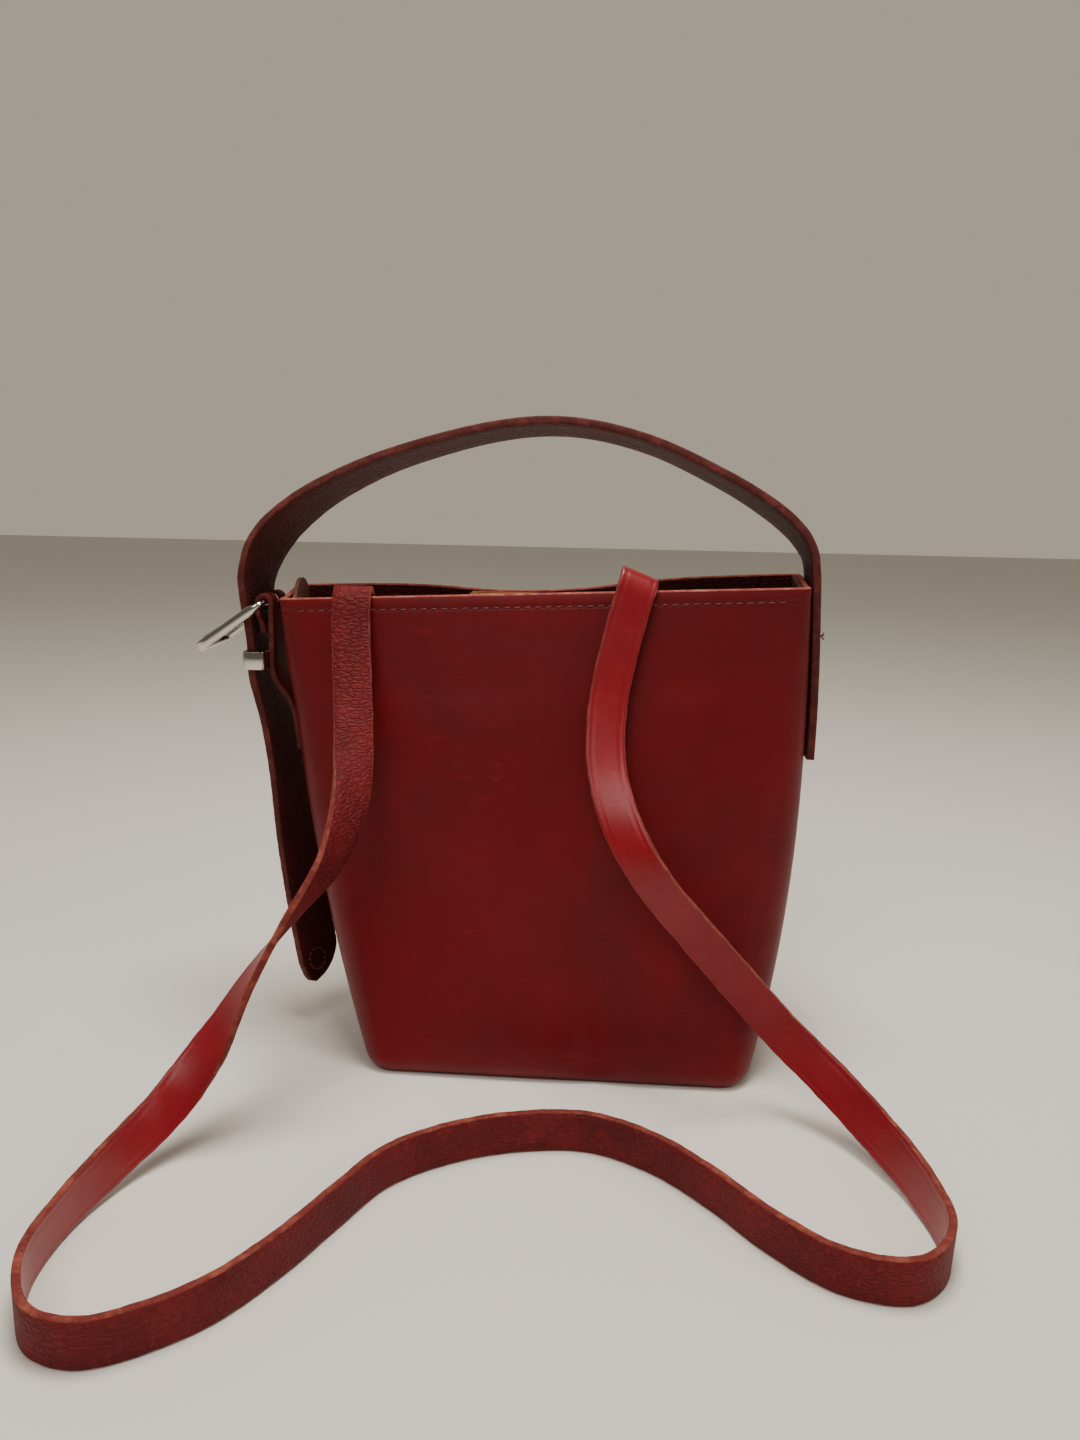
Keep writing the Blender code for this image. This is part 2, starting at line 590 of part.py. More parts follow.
def handle_tail():
    """The long loose end, which hangs beside the bag and turns a little towards its tip."""
    line = smooth_line(upright(TAIL_PATH, TAIL_TWISTS), 0.0045)
    total = length_of(line)

    def taper(run):
        left = max(total - run, 0)
        return HANDLE_WIDTH / 2 * (TIP_LEAST + (1 - TIP_LEAST) * math.sqrt(min(left / TIP_LENGTH, 1)))

    strip("handle_tail", line, 0, HANDLE_THICK, leather("handle_tail"), TAIL_PIVOT, taper)


# The buckle ----------------------------------------------------------------------------------------------------------


def on_buckle(along, rise, y=0.0):
    """A point given along the buckle's plane from its bar, and above that plane."""
    c, s = math.cos(FRAME_TILT), math.sin(FRAME_TILT)
    return Vector((BAR_X - along * c - rise * s, y, BAR_Z - along * s + rise * c))


def buckle_tab():
    """A leather tab sewn on the flank, which loops over the buckle's bar and comes back down on itself."""
    loop = BAR_RADIUS + GAP + TAB_THICK / 2
    points = [*TAB_PATH_UP, (BAR_X + loop, TAB_LOOP_Z)]
    for i in range(7):
        turn = math.pi * i / 6
        points.append((BAR_X + loop * math.cos(turn), BAR_Z + loop * math.sin(turn)))
    points += [(BAR_X - loop, TAB_LOOP_Z), *TAB_PATH_DOWN]
    line = smooth_line(upright(points), 0.0018)
    tab = strip("buckle_tab", line, TAB_WIDTH, TAB_THICK, leather("buckle_tab"))
    cut(tab, "prong_slot", (BAR_X, 0, PRONG_SLOT_Z), PRONG_SLOT_SIZE)


def buckle_frame():
    """A rectangular frame with a round bar that the tab and the prong turn on, and a deeper section elsewhere."""
    half_y = FRAME_WIDTH / 2
    path = []
    corners = ((FRAME_CORNER, 1, math.pi), (FRAME_REACH - FRAME_CORNER, 1, math.pi / 2))
    corners += ((FRAME_REACH - FRAME_CORNER, -1, 0.0), (FRAME_CORNER, -1, -math.pi / 2))
    for q, side, start in corners:
        y = side * (half_y - FRAME_CORNER)
        for i in range(6):
            turn = start - math.pi / 2 * i / 5
            path.append((q + FRAME_CORNER * math.cos(turn), y + FRAME_CORNER * math.sin(turn)))
    points = []
    flat = 1.08
    for i, (q, y) in enumerate(path):
        ahead, behind = path[(i + 1) % len(path)], path[i - 1]
        along = Vector((ahead[0] - behind[0], ahead[1] - behind[1], 0)).normalized()
        out = Vector((-along.y, along.x, 0))
        deep = min(max((q - 0.5 * FRAME_CORNER) / FRAME_CORNER, 0), 1)
        half = BAR_RADIUS + (FRAME_HALF_HEIGHT - BAR_RADIUS) * deep
        for k in range(8):
            turn = 2 * math.pi * (k + 0.5) / 8
            r, n = BAR_RADIUS * flat * math.cos(turn), half * flat * math.sin(turn)
            points.append(on_buckle(q + out.x * r, n, y + out.y * r))
    faces = ring_faces(len(path), 8, closed_rings=True)
    add_mesh("buckle_frame", points, faces, metal("buckle_frame"), (BAR_X, 0, BAR_Z))


def buckle_prong():
    """A prong curled round the bar, whose tip rests on the far side of the frame."""
    curl = BAR_RADIUS + GAP + PRONG_CURL
    points = []
    for i in range(13):
        turn = math.radians(-15 - 255 * i / 12)
        points.append((curl * math.cos(turn), curl * math.sin(turn)))
    points += PRONG_PATH
    stations = [(*on_buckle(q, n), 0.0, 1.0, 0.0) for q, n in points]
    line = smooth_line(stations, 0.0012)
    strip("buckle_prong", line, PRONG_WIDTH, PRONG_THICK, metal("buckle_prong"), (BAR_X, 0, BAR_Z))


def keeper():
    """A flat metal loop round the handle, under the tab."""
    (x0, x1), (z0, z1) = KEEPER_BOX_X, KEEPER_BOX_Z
    loops = []
    for inset in (0, KEEPER_WALL):
        loop = []
        radius = KEEPER_CORNER - inset
        for cx, cy, start in (
            (x1 - KEEPER_CORNER, KEEPER_HALF_Y - KEEPER_CORNER, 0),
            (x0 + KEEPER_CORNER, KEEPER_HALF_Y - KEEPER_CORNER, 1),
            (x0 + KEEPER_CORNER, KEEPER_CORNER - KEEPER_HALF_Y, 2),
            (x1 - KEEPER_CORNER, KEEPER_CORNER - KEEPER_HALF_Y, 3),
        ):
            for i in range(6):
                turn = math.pi / 2 * (start + i / 5)
                loop.append((cx + radius * math.cos(turn), cy + radius * math.sin(turn)))
        loops.append(loop)
    outer, inner = loops
    rings = [[(x, y, z) for x, y in loop] for loop, z in ((outer, z0), (outer, z1), (inner, z1), (inner, z0))]
    faces = ring_faces(4, len(outer), closed_rings=True)
    origin = ((x0 + x1) / 2, 0, (z0 + z1) / 2)
    add_mesh("keeper", [p for ring in rings for p in ring], faces, metal("keeper"), origin)


# The shoulder strap --------------------------------------------------------------------------------------------------


def shoulder_strap():
    line = smooth_line([(*point, *wide) for point, wide in SHOULDER_ROUTE], 0.006)
    colour = (0.20, 0.012, 0.014)
    strip("shoulder_strap", line, SHOULDER_WIDTH, SHOULDER_THICK, leather("shoulder_strap", colour))


clear_scene()
PARTS = make_collection(COLLECTION)
CUTTERS = make_collection(COLLECTION + "_cutters")
body_wrap()
base_board()
facings()
handle_backings()
closure()
strap_anchors()
handle_arch()
handle_anchor()
handle_run()
handle_tail()
buckle_tab()
buckle_frame()
buckle_prong()
keeper()
shoulder_strap()
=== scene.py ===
"""A small red leather bucket bag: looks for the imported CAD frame. Metres, +Z up, the front faces -Y."""

import math

import bmesh
import bpy
import numpy as np
from mathutils import Matrix, Vector


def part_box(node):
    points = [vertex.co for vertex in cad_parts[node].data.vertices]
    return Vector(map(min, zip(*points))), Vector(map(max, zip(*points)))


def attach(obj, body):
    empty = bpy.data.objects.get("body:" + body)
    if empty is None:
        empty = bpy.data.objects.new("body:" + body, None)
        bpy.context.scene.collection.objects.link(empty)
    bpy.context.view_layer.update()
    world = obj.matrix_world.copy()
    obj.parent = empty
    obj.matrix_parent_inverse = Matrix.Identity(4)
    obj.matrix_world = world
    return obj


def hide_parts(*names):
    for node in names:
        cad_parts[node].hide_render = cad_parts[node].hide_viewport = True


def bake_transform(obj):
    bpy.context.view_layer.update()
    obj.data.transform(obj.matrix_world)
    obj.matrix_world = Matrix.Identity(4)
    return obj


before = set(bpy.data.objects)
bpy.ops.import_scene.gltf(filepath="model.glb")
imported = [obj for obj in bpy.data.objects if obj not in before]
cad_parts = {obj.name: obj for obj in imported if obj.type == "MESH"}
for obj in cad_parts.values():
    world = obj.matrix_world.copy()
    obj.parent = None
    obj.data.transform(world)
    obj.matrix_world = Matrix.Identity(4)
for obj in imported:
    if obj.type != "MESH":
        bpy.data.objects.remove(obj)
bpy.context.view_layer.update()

# Camera -------------------------------------------------------------------------------------------
CAMERA_PLACE = Vector((0.0152, -0.4230, 0.2215))
CAMERA_YAW, CAMERA_PITCH, CAMERA_ROLL = (math.radians(a) for a in (-3.546, 11.943, 1.118))
CAMERA_LENS, CAMERA_SENSOR = 27.05, 36

# The body, as in the CAD part ---------------------------------------------------------------------
BODY_HEIGHT = 0.184
BASE_HALF_WIDTH, RIM_HALF_WIDTH = 0.0730, 0.1000
BASE_HALF_DEPTH, RIM_HALF_DEPTH = 0.048, 0.016
FLANK_CURVE, LEAN_CURVE = 2.6, 1.1
LEATHER = 0.002
RIM_SHIFT_X, RIM_TILT = -0.0100, math.radians(2.6)
BASE_FOLD_RADIUS = 0.006
RIM_CORNER_RADIUS, BASE_CORNER_RADIUS, SOFT_CORNER_RADIUS = 0.003, 0.010, 0.008
FACE_BULGE = 0.006
PINCH_DEPTH, PINCH_HALF_WIDTH, PINCH_X, PINCH_START = 0.0145, 0.040, -0.002, 0.45
PINCH_DROP = 0.0034
BACK_RISE, BACK_RISE_RUN = 0.0030, 0.016

# The straps and the hardware
HANDLE_WIDTH, HANDLE_THICK = 0.022, 0.003
HANDLE_GAP, TIP_LENGTH = 0.0010, 0.014
HANDLE_LEAN = math.radians(10)
ROOT_LEFT, ROOT_RIGHT = Vector((-0.1262, 0, 0.1920)), Vector((0.0932, 0, 0.2005))
PRONG_HOLE, PRONG_HOLE_SIZE = (-0.1250, 0, 0.1752), (0.014, 0.0042, 0.0070)
TAB_WIDTH, TAB_THICK = 0.019, 0.002
TAB_SLOT_HEIGHT, TAB_SLOT_SIZE = 0.1795, (0.012, 0.0050, 0.0120)
SHOULDER_WIDTH, SHOULDER_THICK = 0.0145, 0.0025
BAR_X, BAR_Z, BAR_RADIUS = -0.1191, 0.1770, 0.0013
BAR_CLEARANCE = 0.0003
FRAME_TILT = math.radians(35.2)
FRAME_REACH, FRAME_WIDTH, FRAME_CORNER, FRAME_HALF_HEIGHT = 0.0307, 0.0284, 0.0035, 0.0019
PRONG_WIDTH, PRONG_THICK = 0.0030, 0.0013


# Small tools --------------------------------------------------------------------------------------


def smooth_line(points, step):
    """Evenly spaced points on a Catmull-Rom curve through control points of any dimension."""
    p = np.array(points, float)
    guide = np.vstack([2 * p[0] - p[1], p, 2 * p[-1] - p[-2]])
    t = np.linspace(0, 1, 40, endpoint=False)[:, None]
    dense = []
    for i in range(1, len(guide) - 2):
        a, b, c, d = guide[i - 1 : i + 3]
        square, cube = 2 * a - 5 * b + 4 * c - d, 3 * b - a - 3 * c + d
        dense.append(0.5 * (2 * b + (c - a) * t + square * t**2 + cube * t**3))
    dense = np.vstack([*dense, p[-1:]])
    along = np.r_[0, np.cumsum(np.linalg.norm(np.diff(dense[:, :3], axis=0), axis=1))]
    goals = np.linspace(0, along[-1], max(3, round(along[-1] / step)) + 1)
    return np.stack([np.interp(goals, along, dense[:, k]) for k in range(p.shape[1])], 1)


def add_mesh(name, points, faces, mats, indices=None, smooth=35):
    mesh = bpy.data.meshes.new(name)
    mesh.from_pydata([tuple(p) for p in points], [], faces)
    for mat in mats if isinstance(mats, (list, tuple)) else [mats]:
        mesh.materials.append(mat)
    if indices is not None:
        mesh.polygons.foreach_set("material_index", indices)
    work = bmesh.new()
    work.from_mesh(mesh)
    bmesh.ops.recalc_face_normals(work, faces=work.faces)
    work.to_mesh(mesh)
    work.free()
    mesh.polygons.foreach_set("use_smooth", [True] * len(mesh.polygons))
    mesh.set_sharp_from_angle(angle=math.radians(smooth))
    obj = bpy.data.objects.new(name, mesh)
    bpy.context.scene.collection.objects.link(obj)
    return obj


def grid_faces(rows, columns, looped=False):
    """Quads between neighbouring rows of points. Each row is a loop.
    looped also joins the last row to the first."""
    faces = []
    for i in range(rows if looped else rows - 1):
        here, there = i * columns, (i + 1) % rows * columns
        for k in range(columns):
            ahead = (k + 1) % columns
            faces.append((here + k, here + ahead, there + ahead, there + k))
    return faces


def drill(obj, centre, size):
    """Cuts a box-shaped slot right through a piece."""
    bpy.ops.mesh.primitive_cube_add(size=1, location=centre)
    cutter = bpy.context.active_object
    cutter.data.transform(Matrix.Diagonal((*size, 1)))
    modifier = obj.modifiers.new("slot", "BOOLEAN")
    modifier.object, modifier.operation = cutter, "DIFFERENCE"
    graph = bpy.context.evaluated_depsgraph_get()
    obj.data = bpy.data.meshes.new_from_object(obj.evaluated_get(graph))
    obj.modifiers.clear()
    bpy.data.objects.remove(cutter, do_unlink=True)


# Materials ----------------------------------------------------------------------------------------


class Nodes:
    """A short way to write a node material."""

    def __init__(self, name):
        self.mat = bpy.data.materials.new(name)
        self.mat.use_nodes = True
        self.tree = self.mat.node_tree
        self.shader = self.tree.nodes["Principled BSDF"]
        self.place = self.new("ShaderNodeTexCoord").outputs["Object"]

    def new(self, kind, **settings):
        node = self.tree.nodes.new(kind)
        for key, value in settings.items():
            setattr(node, key, value)
        return node

    def link(self, source, target):
        self.tree.links.new(source, target)

    def value(self, target, value):
        if hasattr(value, "is_output"):
            self.link(value, target)
        else:
            target.default_value = value

    def scaled(self, scale):
        node = self.new("ShaderNodeMapping")
        self.link(self.place, node.inputs["Vector"])
        node.inputs["Scale"].default_value = scale
        return node.outputs["Vector"]

    def noise(self, scale, detail=4.0, rough=0.5, where=None, distortion=0.0):
        node = self.new("ShaderNodeTexNoise")
        self.link(where or self.place, node.inputs["Vector"])
        node.inputs["Scale"].default_value = scale
        node.inputs["Detail"].default_value = detail
        node.inputs["Roughness"].default_value = rough
        node.inputs["Distortion"].default_value = distortion
        return node.outputs["Fac"]

    def cells(self, scale, where=None, feature="F1"):
        node = self.new("ShaderNodeTexVoronoi", feature=feature)
        self.link(where or self.place, node.inputs["Vector"])
        node.inputs["Scale"].default_value = scale
        return node.outputs["Distance"]

    def ramp(self, source, low, high, low_value=0.0, high_value=1.0):
        node = self.new("ShaderNodeMapRange", clamp=True)
        self.value(node.inputs["Value"], source)
        ends = {"From Min": low, "From Max": high, "To Min": low_value, "To Max": high_value}
        for key, value in ends.items():
            node.inputs[key].default_value = value
        return node.outputs["Result"]

    def math(self, kind, a, b=0.0):
        node = self.new("ShaderNodeMath", operation=kind)
        self.value(node.inputs[0], a)
        self.value(node.inputs[1], b)
        return node.outputs["Value"]

    def mix(self, factor, a, b):
        node = self.new("ShaderNodeMix", data_type="RGBA")
        self.value(node.inputs["Factor"], factor)
        for socket, colour in ((node.inputs["A"], a), (node.inputs["B"], b)):
            if hasattr(colour, "is_output"):
                self.link(colour, socket)
            else:
                socket.default_value = (*colour, 1)
        return node.outputs["Result"]

    def bump(self, height, strength, distance, under=None):
        node = self.new("ShaderNodeBump")
        self.link(height, node.inputs["Height"])
        node.inputs["Strength"].default_value = strength
        node.inputs["Distance"].default_value = distance
        if under is not None:
            self.link(under, node.inputs["Normal"])
        return node.outputs["Normal"]

    def distance(self, centre):
        node = self.new("ShaderNodeVectorMath", operation="DISTANCE")
        self.link(self.place, node.inputs[0])
        node.inputs[1].default_value = centre
        return node.outputs["Value"]

    def finish(self, colour, roughness, normal=None, metallic=0.0, sheen=0.0, coat=0.0, specular=0.5):
        shader = self.shader
        self.link(colour, shader.inputs["Base Color"])
        self.value(shader.inputs["Roughness"], roughness)
        shader.inputs["Metallic"].default_value = metallic
        shader.inputs["Sheen Weight"].default_value = sheen
        shader.inputs["Sheen Roughness"].default_value = 0.6
        shader.inputs["Sheen Tint"].default_value = (1.0, 0.45, 0.40, 1)
        shader.inputs["Coat Weight"].default_value = coat
        shader.inputs["Coat Roughness"].default_value = 0.35
        shader.inputs["Specular IOR Level"].default_value = specular
        if normal is not None:
            self.link(normal, shader.inputs["Normal"])
        return self.mat


# Marks on the front face: a rubbed spot, and a faint dent pressed as a ring.
RUB_PLACE, RUB_RADIUS, RUB_SOFT = (0.028, -0.036, 0.094), 0.002, 0.010
DENT_PLACE, DENT_RADIUS, DENT_WIDTH = (-0.0255, -0.0310, 0.1180), 0.0042, 0.0007


def grain_leather(name, colour, deep, light, roughness, body=False, gloss=0.45):
    """Smooth dyed leather: pores, faint creases, scuffs and slow changes of tone.
    body adds the marks of the front face."""
    n = Nodes(name)
    patches = n.noise(14, 3, 0.55, distortion=0.6)
    clouds = n.noise(45, 5, 0.6)
    pores = n.cells(1500)
    creases = n.noise(420, 6, 0.65, distortion=1.2)
    streaks = n.noise(120, 3, 0.5, where=n.scaled((1.0, 1.0, 0.12)))
    base = n.mix(n.ramp(patches, 0.35, 0.70), colour, deep)
    base = n.mix(n.ramp(clouds, 0.45, 0.75, 0.0, 0.35), base, light)
    scuffs = n.ramp(n.noise(260, 2, 0.4, where=n.scaled((0.25, 1.0, 1.6))), 0.66, 0.74, 0.0, 0.35)
    if body:
        rub = n.ramp(n.distance(RUB_PLACE), RUB_RADIUS, RUB_RADIUS + RUB_SOFT, 1.0, 0.0)
        scuffs = n.math("MAXIMUM", scuffs, n.math("MULTIPLY", rub, 0.10))
    base = n.mix(scuffs, base, light)
    base = n.mix(n.ramp(pores, 0.02, 0.30, 0.30, 0.0), base, deep)
    rough = n.ramp(patches, 0.3, 0.7, roughness - 0.05, roughness + 0.07)
    rough = n.math("ADD", rough, n.ramp(creases, 0.3, 0.7, -0.03, 0.05))
    normal = n.bump(n.ramp(pores, 0.0, 0.45), 0.16, 0.00012)
    normal = n.bump(creases, 0.22, 0.00022, normal)
    normal = n.bump(streaks, 0.12, 0.0005, normal)
    if body:
        normal = n.bump(n.noise(22, 2, 0.5), 0.30, 0.0022, normal)
        off = n.math("ABSOLUTE", n.math("SUBTRACT", n.distance(DENT_PLACE), DENT_RADIUS))
        arc = n.ramp(off, 0.0, DENT_WIDTH, 1.0, 0.0)
        normal = n.bump(n.math("SUBTRACT", 0.0, arc), 0.5, 0.0004, normal)
    return n.finish(base, rough, normal, coat=0.04, specular=gloss)


def flesh_leather(name, colour, deep, light, grainy=1.0):
    """The rough back of the leather: cracked, fibrous and dull."""
    n = Nodes(name)
    fibre = n.noise(900, 6, 0.7, where=n.scaled((1.0, 1.0, 0.45)), distortion=0.8)
    cracks = n.cells(520, where=n.scaled((0.55, 0.8, 1.3)), feature="DISTANCE_TO_EDGE")
    nap = n.noise(2600, 3, 0.6)
    patches = n.noise(60, 4, 0.6)
    base = n.mix(n.ramp(patches, 0.35, 0.65), colour, deep)
    base = n.mix(n.ramp(fibre, 0.50, 0.72, 0.0, 0.6 * grainy), base, light)
    base = n.mix(n.ramp(cracks, 0.0, 0.12, 0.65, 0.0), base, deep)
    normal = n.bump(fibre, 0.40 * grainy, 0.0004)
    normal = n.bump(n.ramp(cracks, 0.0, 0.22), 0.55 * grainy, 0.0004, normal)
    normal = n.bump(nap, 0.35, 0.00015, normal)
    return n.finish(base, n.ramp(fibre, 0.3, 0.7, 0.50, 0.74), normal, specular=0.22)


def raw_edge(name, colour, deep, light):
    """A cut edge: packed fibres in layers, dye left in places."""
    n = Nodes(name)
    layers = n.noise(1700, 4, 0.7, where=n.scaled((0.35, 1.0, 1.0)))
    stains = n.noise(240, 3, 0.6)
    base = n.mix(n.ramp(layers, 0.35, 0.65), deep, colour)
    base = n.mix(n.ramp(stains, 0.45, 0.70, 0.0, 0.7), base, light)
    normal = n.bump(layers, 0.6, 0.0004)
    return n.finish(base, n.ramp(layers, 0.3, 0.7, 0.62, 0.85), normal, sheen=0.10, specular=0.3)


def nickel(name):
    """Polished plate with hairlines and a few fingermarks."""
    n = Nodes(name)
    hair = n.noise(1400, 2, 0.5, where=n.scaled((0.08, 1.0, 1.0)))
    smears = n.noise(160, 4, 0.6)
    base = n.mix(n.ramp(smears, 0.4, 0.7, 0.0, 0.5), (0.66, 0.64, 0.60), (0.50, 0.48, 0.45))
    rough = n.math("ADD", n.ramp(smears, 0.35, 0.7, 0.07, 0.16), n.ramp(hair, 0.5, 0.8, 0.0, 0.08))
    return n.finish(base, rough, n.bump(hair, 0.06, 0.00005), metallic=1.0)


def thread_material(name, colour, deep):
    """Waxed thread with a twist."""
    n = Nodes(name)
    twist = n.noise(3200, 2, 0.5, where=n.scaled((1.0, 1.0, 0.5)))
    base = n.mix(n.ramp(twist, 0.35, 0.65), deep, colour)
    return n.finish(base, 0.6, n.bump(twist, 0.5, 0.0002), sheen=0.2)


def board(name):
    """Pressed fibre board covered in dull red."""
    n = Nodes(name)
    specks = n.noise(800, 4, 0.7)
    base = n.mix(n.ramp(specks, 0.35, 0.7), (0.05, 0.008, 0.007), (0.11, 0.02, 0.016))
    return n.finish(base, 0.85, n.bump(specks, 0.4, 0.0003))


# Each leather: its name, its main, deep and light colours, then its roughness or how grainy it is.
BODY = grain_leather(
    "body_red", (0.145, 0.0004, 0.0040), (0.095, 0.0003, 0.0028), (0.195, 0.002, 0.009),
    0.44, body=True, gloss=0.28
)
STRAP = grain_leather(
    "strap_red", (0.250, 0.0015, 0.0090), (0.185, 0.001, 0.007), (0.330, 0.010, 0.020), 0.36
)
HANDLE = grain_leather(
    "handle_red", (0.075, 0.0008, 0.0026), (0.050, 0.0005, 0.002), (0.110, 0.004, 0.006), 0.48
)
LINING = flesh_leather(
    "inside_flesh", (0.060, 0.003, 0.003), (0.035, 0.002, 0.002), (0.110, 0.010, 0.008)
)
STRAP_FLESH = flesh_leather(
    "strap_flesh", (0.165, 0.007, 0.010), (0.095, 0.003, 0.005), (0.280, 0.028, 0.030), 1.2
)
# The handle's flesh side: its own dark tone, made darker still as painted shade for the arch's underside.
HANDLE_FLESH_SHADED = flesh_leather(
    "handle_flesh_painted_shade", (0.060, 0.0045, 0.0040), (0.035, 0.002, 0.0022), (0.110, 0.016, 0.013), 1.3
)
BROWN_FLESH = flesh_leather(
    "backing_flesh", (0.170, 0.060, 0.035), (0.110, 0.032, 0.022), (0.260, 0.110, 0.070), 1.2
)
TAN = flesh_leather(
    "tan_patch", (0.480, 0.160, 0.055), (0.340, 0.100, 0.040), (0.600, 0.260, 0.120), 0.8
)
RIM_EDGE = raw_edge("rim_edge", (0.360, 0.075, 0.055), (0.220, 0.022, 0.018), (0.520, 0.170, 0.125))
STRAP_EDGE = raw_edge("strap_edge", (0.190, 0.022, 0.015), (0.100, 0.008, 0.007), (0.340, 0.085, 0.050))
HANDLE_EDGE = raw_edge(
    "handle_edge", (0.085, 0.006, 0.005), (0.045, 0.003, 0.003), (0.170, 0.032, 0.022)
)
NICKEL = nickel("nickel")
# The tab: the body's leather, made darker and duller as painted shade for its place between the handle and
# the flank.
TAB_SHADED = grain_leather(
    "tab_red_painted_shade", (0.095, 0.0006, 0.0030), (0.060, 0.0004, 0.002), (0.130, 0.003, 0.006), 0.70, gloss=0.10
)
THREAD = thread_material("thread", (0.140, 0.003, 0.007), (0.060, 0.001, 0.003))
BOARD = board("fibre_board")


# The body's surface -------------------------------------------------------------------------------


def body_size(level, inset):
    """Half width, half depth, corner radius and bulge of the wall at a level from 0 to 1."""
    swell = 4 * level * (1 - level)
    half_width = BASE_HALF_WIDTH + (RIM_HALF_WIDTH - BASE_HALF_WIDTH) * (1 - max(1 - level, 0) ** FLANK_CURVE)
    bulge = FACE_BULGE * swell
    half_depth = BASE_HALF_DEPTH + (RIM_HALF_DEPTH - BASE_HALF_DEPTH) * level - bulge
    radius = RIM_CORNER_RADIUS + (BASE_CORNER_RADIUS - RIM_CORNER_RADIUS) * (1 - level)
    radius += SOFT_CORNER_RADIUS * swell
    return half_width - inset, half_depth - inset, max(radius - inset, 0.0006), bulge


def ease(t):
    t = min(max(t, 0.0), 1.0)
    return t * t * (3 - 2 * t)


def pinch(x, level):
    """How far the closed snap draws the back in here, from 0 to 1."""
    near = math.exp(-(((x - PINCH_X) / PINCH_HALF_WIDTH) ** 2))
    return ease((level - PINCH_START) / (1 - PINCH_START)) * near


def place(x, y, z):
    """Leans and tilts a point of the upright body into its place."""
    level = max(z - BASE_FOLD_RADIUS, 0) / (BODY_HEIGHT - BASE_FOLD_RADIUS)
    back = min(max(0.5 + y / BACK_RISE_RUN, 0.0), 1.0)
    rise = back * (BACK_RISE * level**3 - PINCH_DROP * pinch(x, level))
    return Vector((x + RIM_SHIFT_X * level**LEAN_CURVE, y, z + level * x * math.tan(RIM_TILT) + rise))


def face_point(across, z, inset, side):
    level = z / BODY_HEIGHT
    half_width, half_depth, radius, bulge = body_size(level, inset)
    x = across * (half_width - radius)
    y = half_depth + bulge * (1 - across**2)
    if side > 0:
        y -= PINCH_DEPTH * pinch(x, level)
    return place(x, side * y, z)


def flank_point(y, z, inset, side):
    return place(side * body_size(z / BODY_HEIGHT, inset)[0], y, z)


# Soft swells and hollows of the two faces: side, x, z, half width, half height, depth outward.
SWELLS = (
    (-1, 0.016, 0.030, 0.008, 0.050, -0.0026),
    (-1, 0.030, 0.050, 0.008, 0.050, 0.0009),
    (-1, -0.032, 0.128, 0.030, 0.022, 0.0010),
    (-1, 0.056, 0.120, 0.024, 0.034, 0.0011),
    (-1, -0.045, 0.070, 0.022, 0.026, -0.0009),
    (-1, -0.020, 0.022, 0.028, 0.018, 0.0010),
    (-1, 0.050, 0.040, 0.018, 0.030, 0.0011),
    (-1, 0.074, 0.085, 0.012, 0.050, 0.0008),
    (1, -0.030, 0.060, 0.034, 0.040, -0.0016),
    (1, 0.040, 0.080, 0.026, 0.036, 0.0010),
    (1, -0.002, 0.110, 0.018, 0.030, -0.0012),
)


def swell(side, x, z):
    total = 0.0
    for where, cx, cz, wide, high, depth in SWELLS:
        if where == side:
            total += depth * math.exp(-(((x - cx) / wide) ** 2) - ((z - cz) / high) ** 2)
    return total * ease(z / 0.008) * (1 - ease((z - 0.140) / 0.012))


FACE_STEPS, CORNER_STEPS, FOLD_STEPS = 60, 10, 8
STITCH_LEVEL = BODY_HEIGHT - 0.0052
STITCH_GROOVE, STITCH_GROOVE_HALF = 0.0003, 0.0007
SEAM_LEVEL, SEAM_GROOVE = 0.0072, 0.0008
SEAM_HALF_DEPTH, FLANK_FROM = 0.028, 0.06
FLANK_SEAM = 0.0011
EDGE_START = 0.0006
# The raw rim, from the outside round to the inside: inset, and drop below the rim.
RIM_PROFILE = (
    (0.0001, 0.0003), (0.0003, 0.0001), (0.0006, 0),
    (0.0014, 0), (0.0017, 0.0001), (0.0019, 0.0003),
)
FLANK_PLACES = (0.0, 0.12, 0.25, 0.37, 0.455, 0.485, 0.5, 0.515, 0.545, 0.63, 0.75, 0.88, 1.0)
SEAM_COLUMN = 6


def body_ring(z, inset, extra, wave=True):
    """One ring of the wall, round from the front's -X corner."""
    level = z / BODY_HEIGHT
    half_width, half_depth, radius, bulge = body_size(level, inset + extra)
    flat_x, flat_y = half_width - radius, half_depth - radius
    seam = FLANK_SEAM if inset < 0.001 and level > 0.03 else 0.0
    ring = []
    for side in (-1, 1):
        for i in range(FACE_STEPS + 1):
            across = side * (2 * i / FACE_STEPS - 1)
            x = across * flat_x
            y = half_depth + bulge * (1 - across**2) - PINCH_DEPTH * pinch(x, level) * (side > 0)
            ring.append((x, side * (y + (swell(side, x, z) if wave else 0))))
        for i in range(1, CORNER_STEPS):
            turn = math.pi / 2 * i / CORNER_STEPS
            x, y = flat_x + radius * math.sin(turn), flat_y + radius * math.cos(turn)
            ring.append((side * x, side * y))
        for i, part in enumerate(FLANK_PLACES):
            inward = seam if i == SEAM_COLUMN else 0.0
            ring.append((side * (half_width - inward), side * flat_y * (1 - 2 * part)))
        for i in range(1, CORNER_STEPS):
            turn = math.pi / 2 * (1 - i / CORNER_STEPS)
            x, y = flat_x + radius * math.sin(turn), flat_y + radius * math.cos(turn)
            ring.append((side * x, -side * y))
    return [place(x - fullness(x, z), y, z) for x, y in ring]


def fullness(x, z):
    """The -X side stands out a little more than its CAD solid above the tab's sewn end."""
    out = 0.0006 * ease((z - 0.05) / 0.05) + 0.0011 * ease((z - 0.135) / 0.025)
    return out * ease((-x - 0.035) / 0.060)


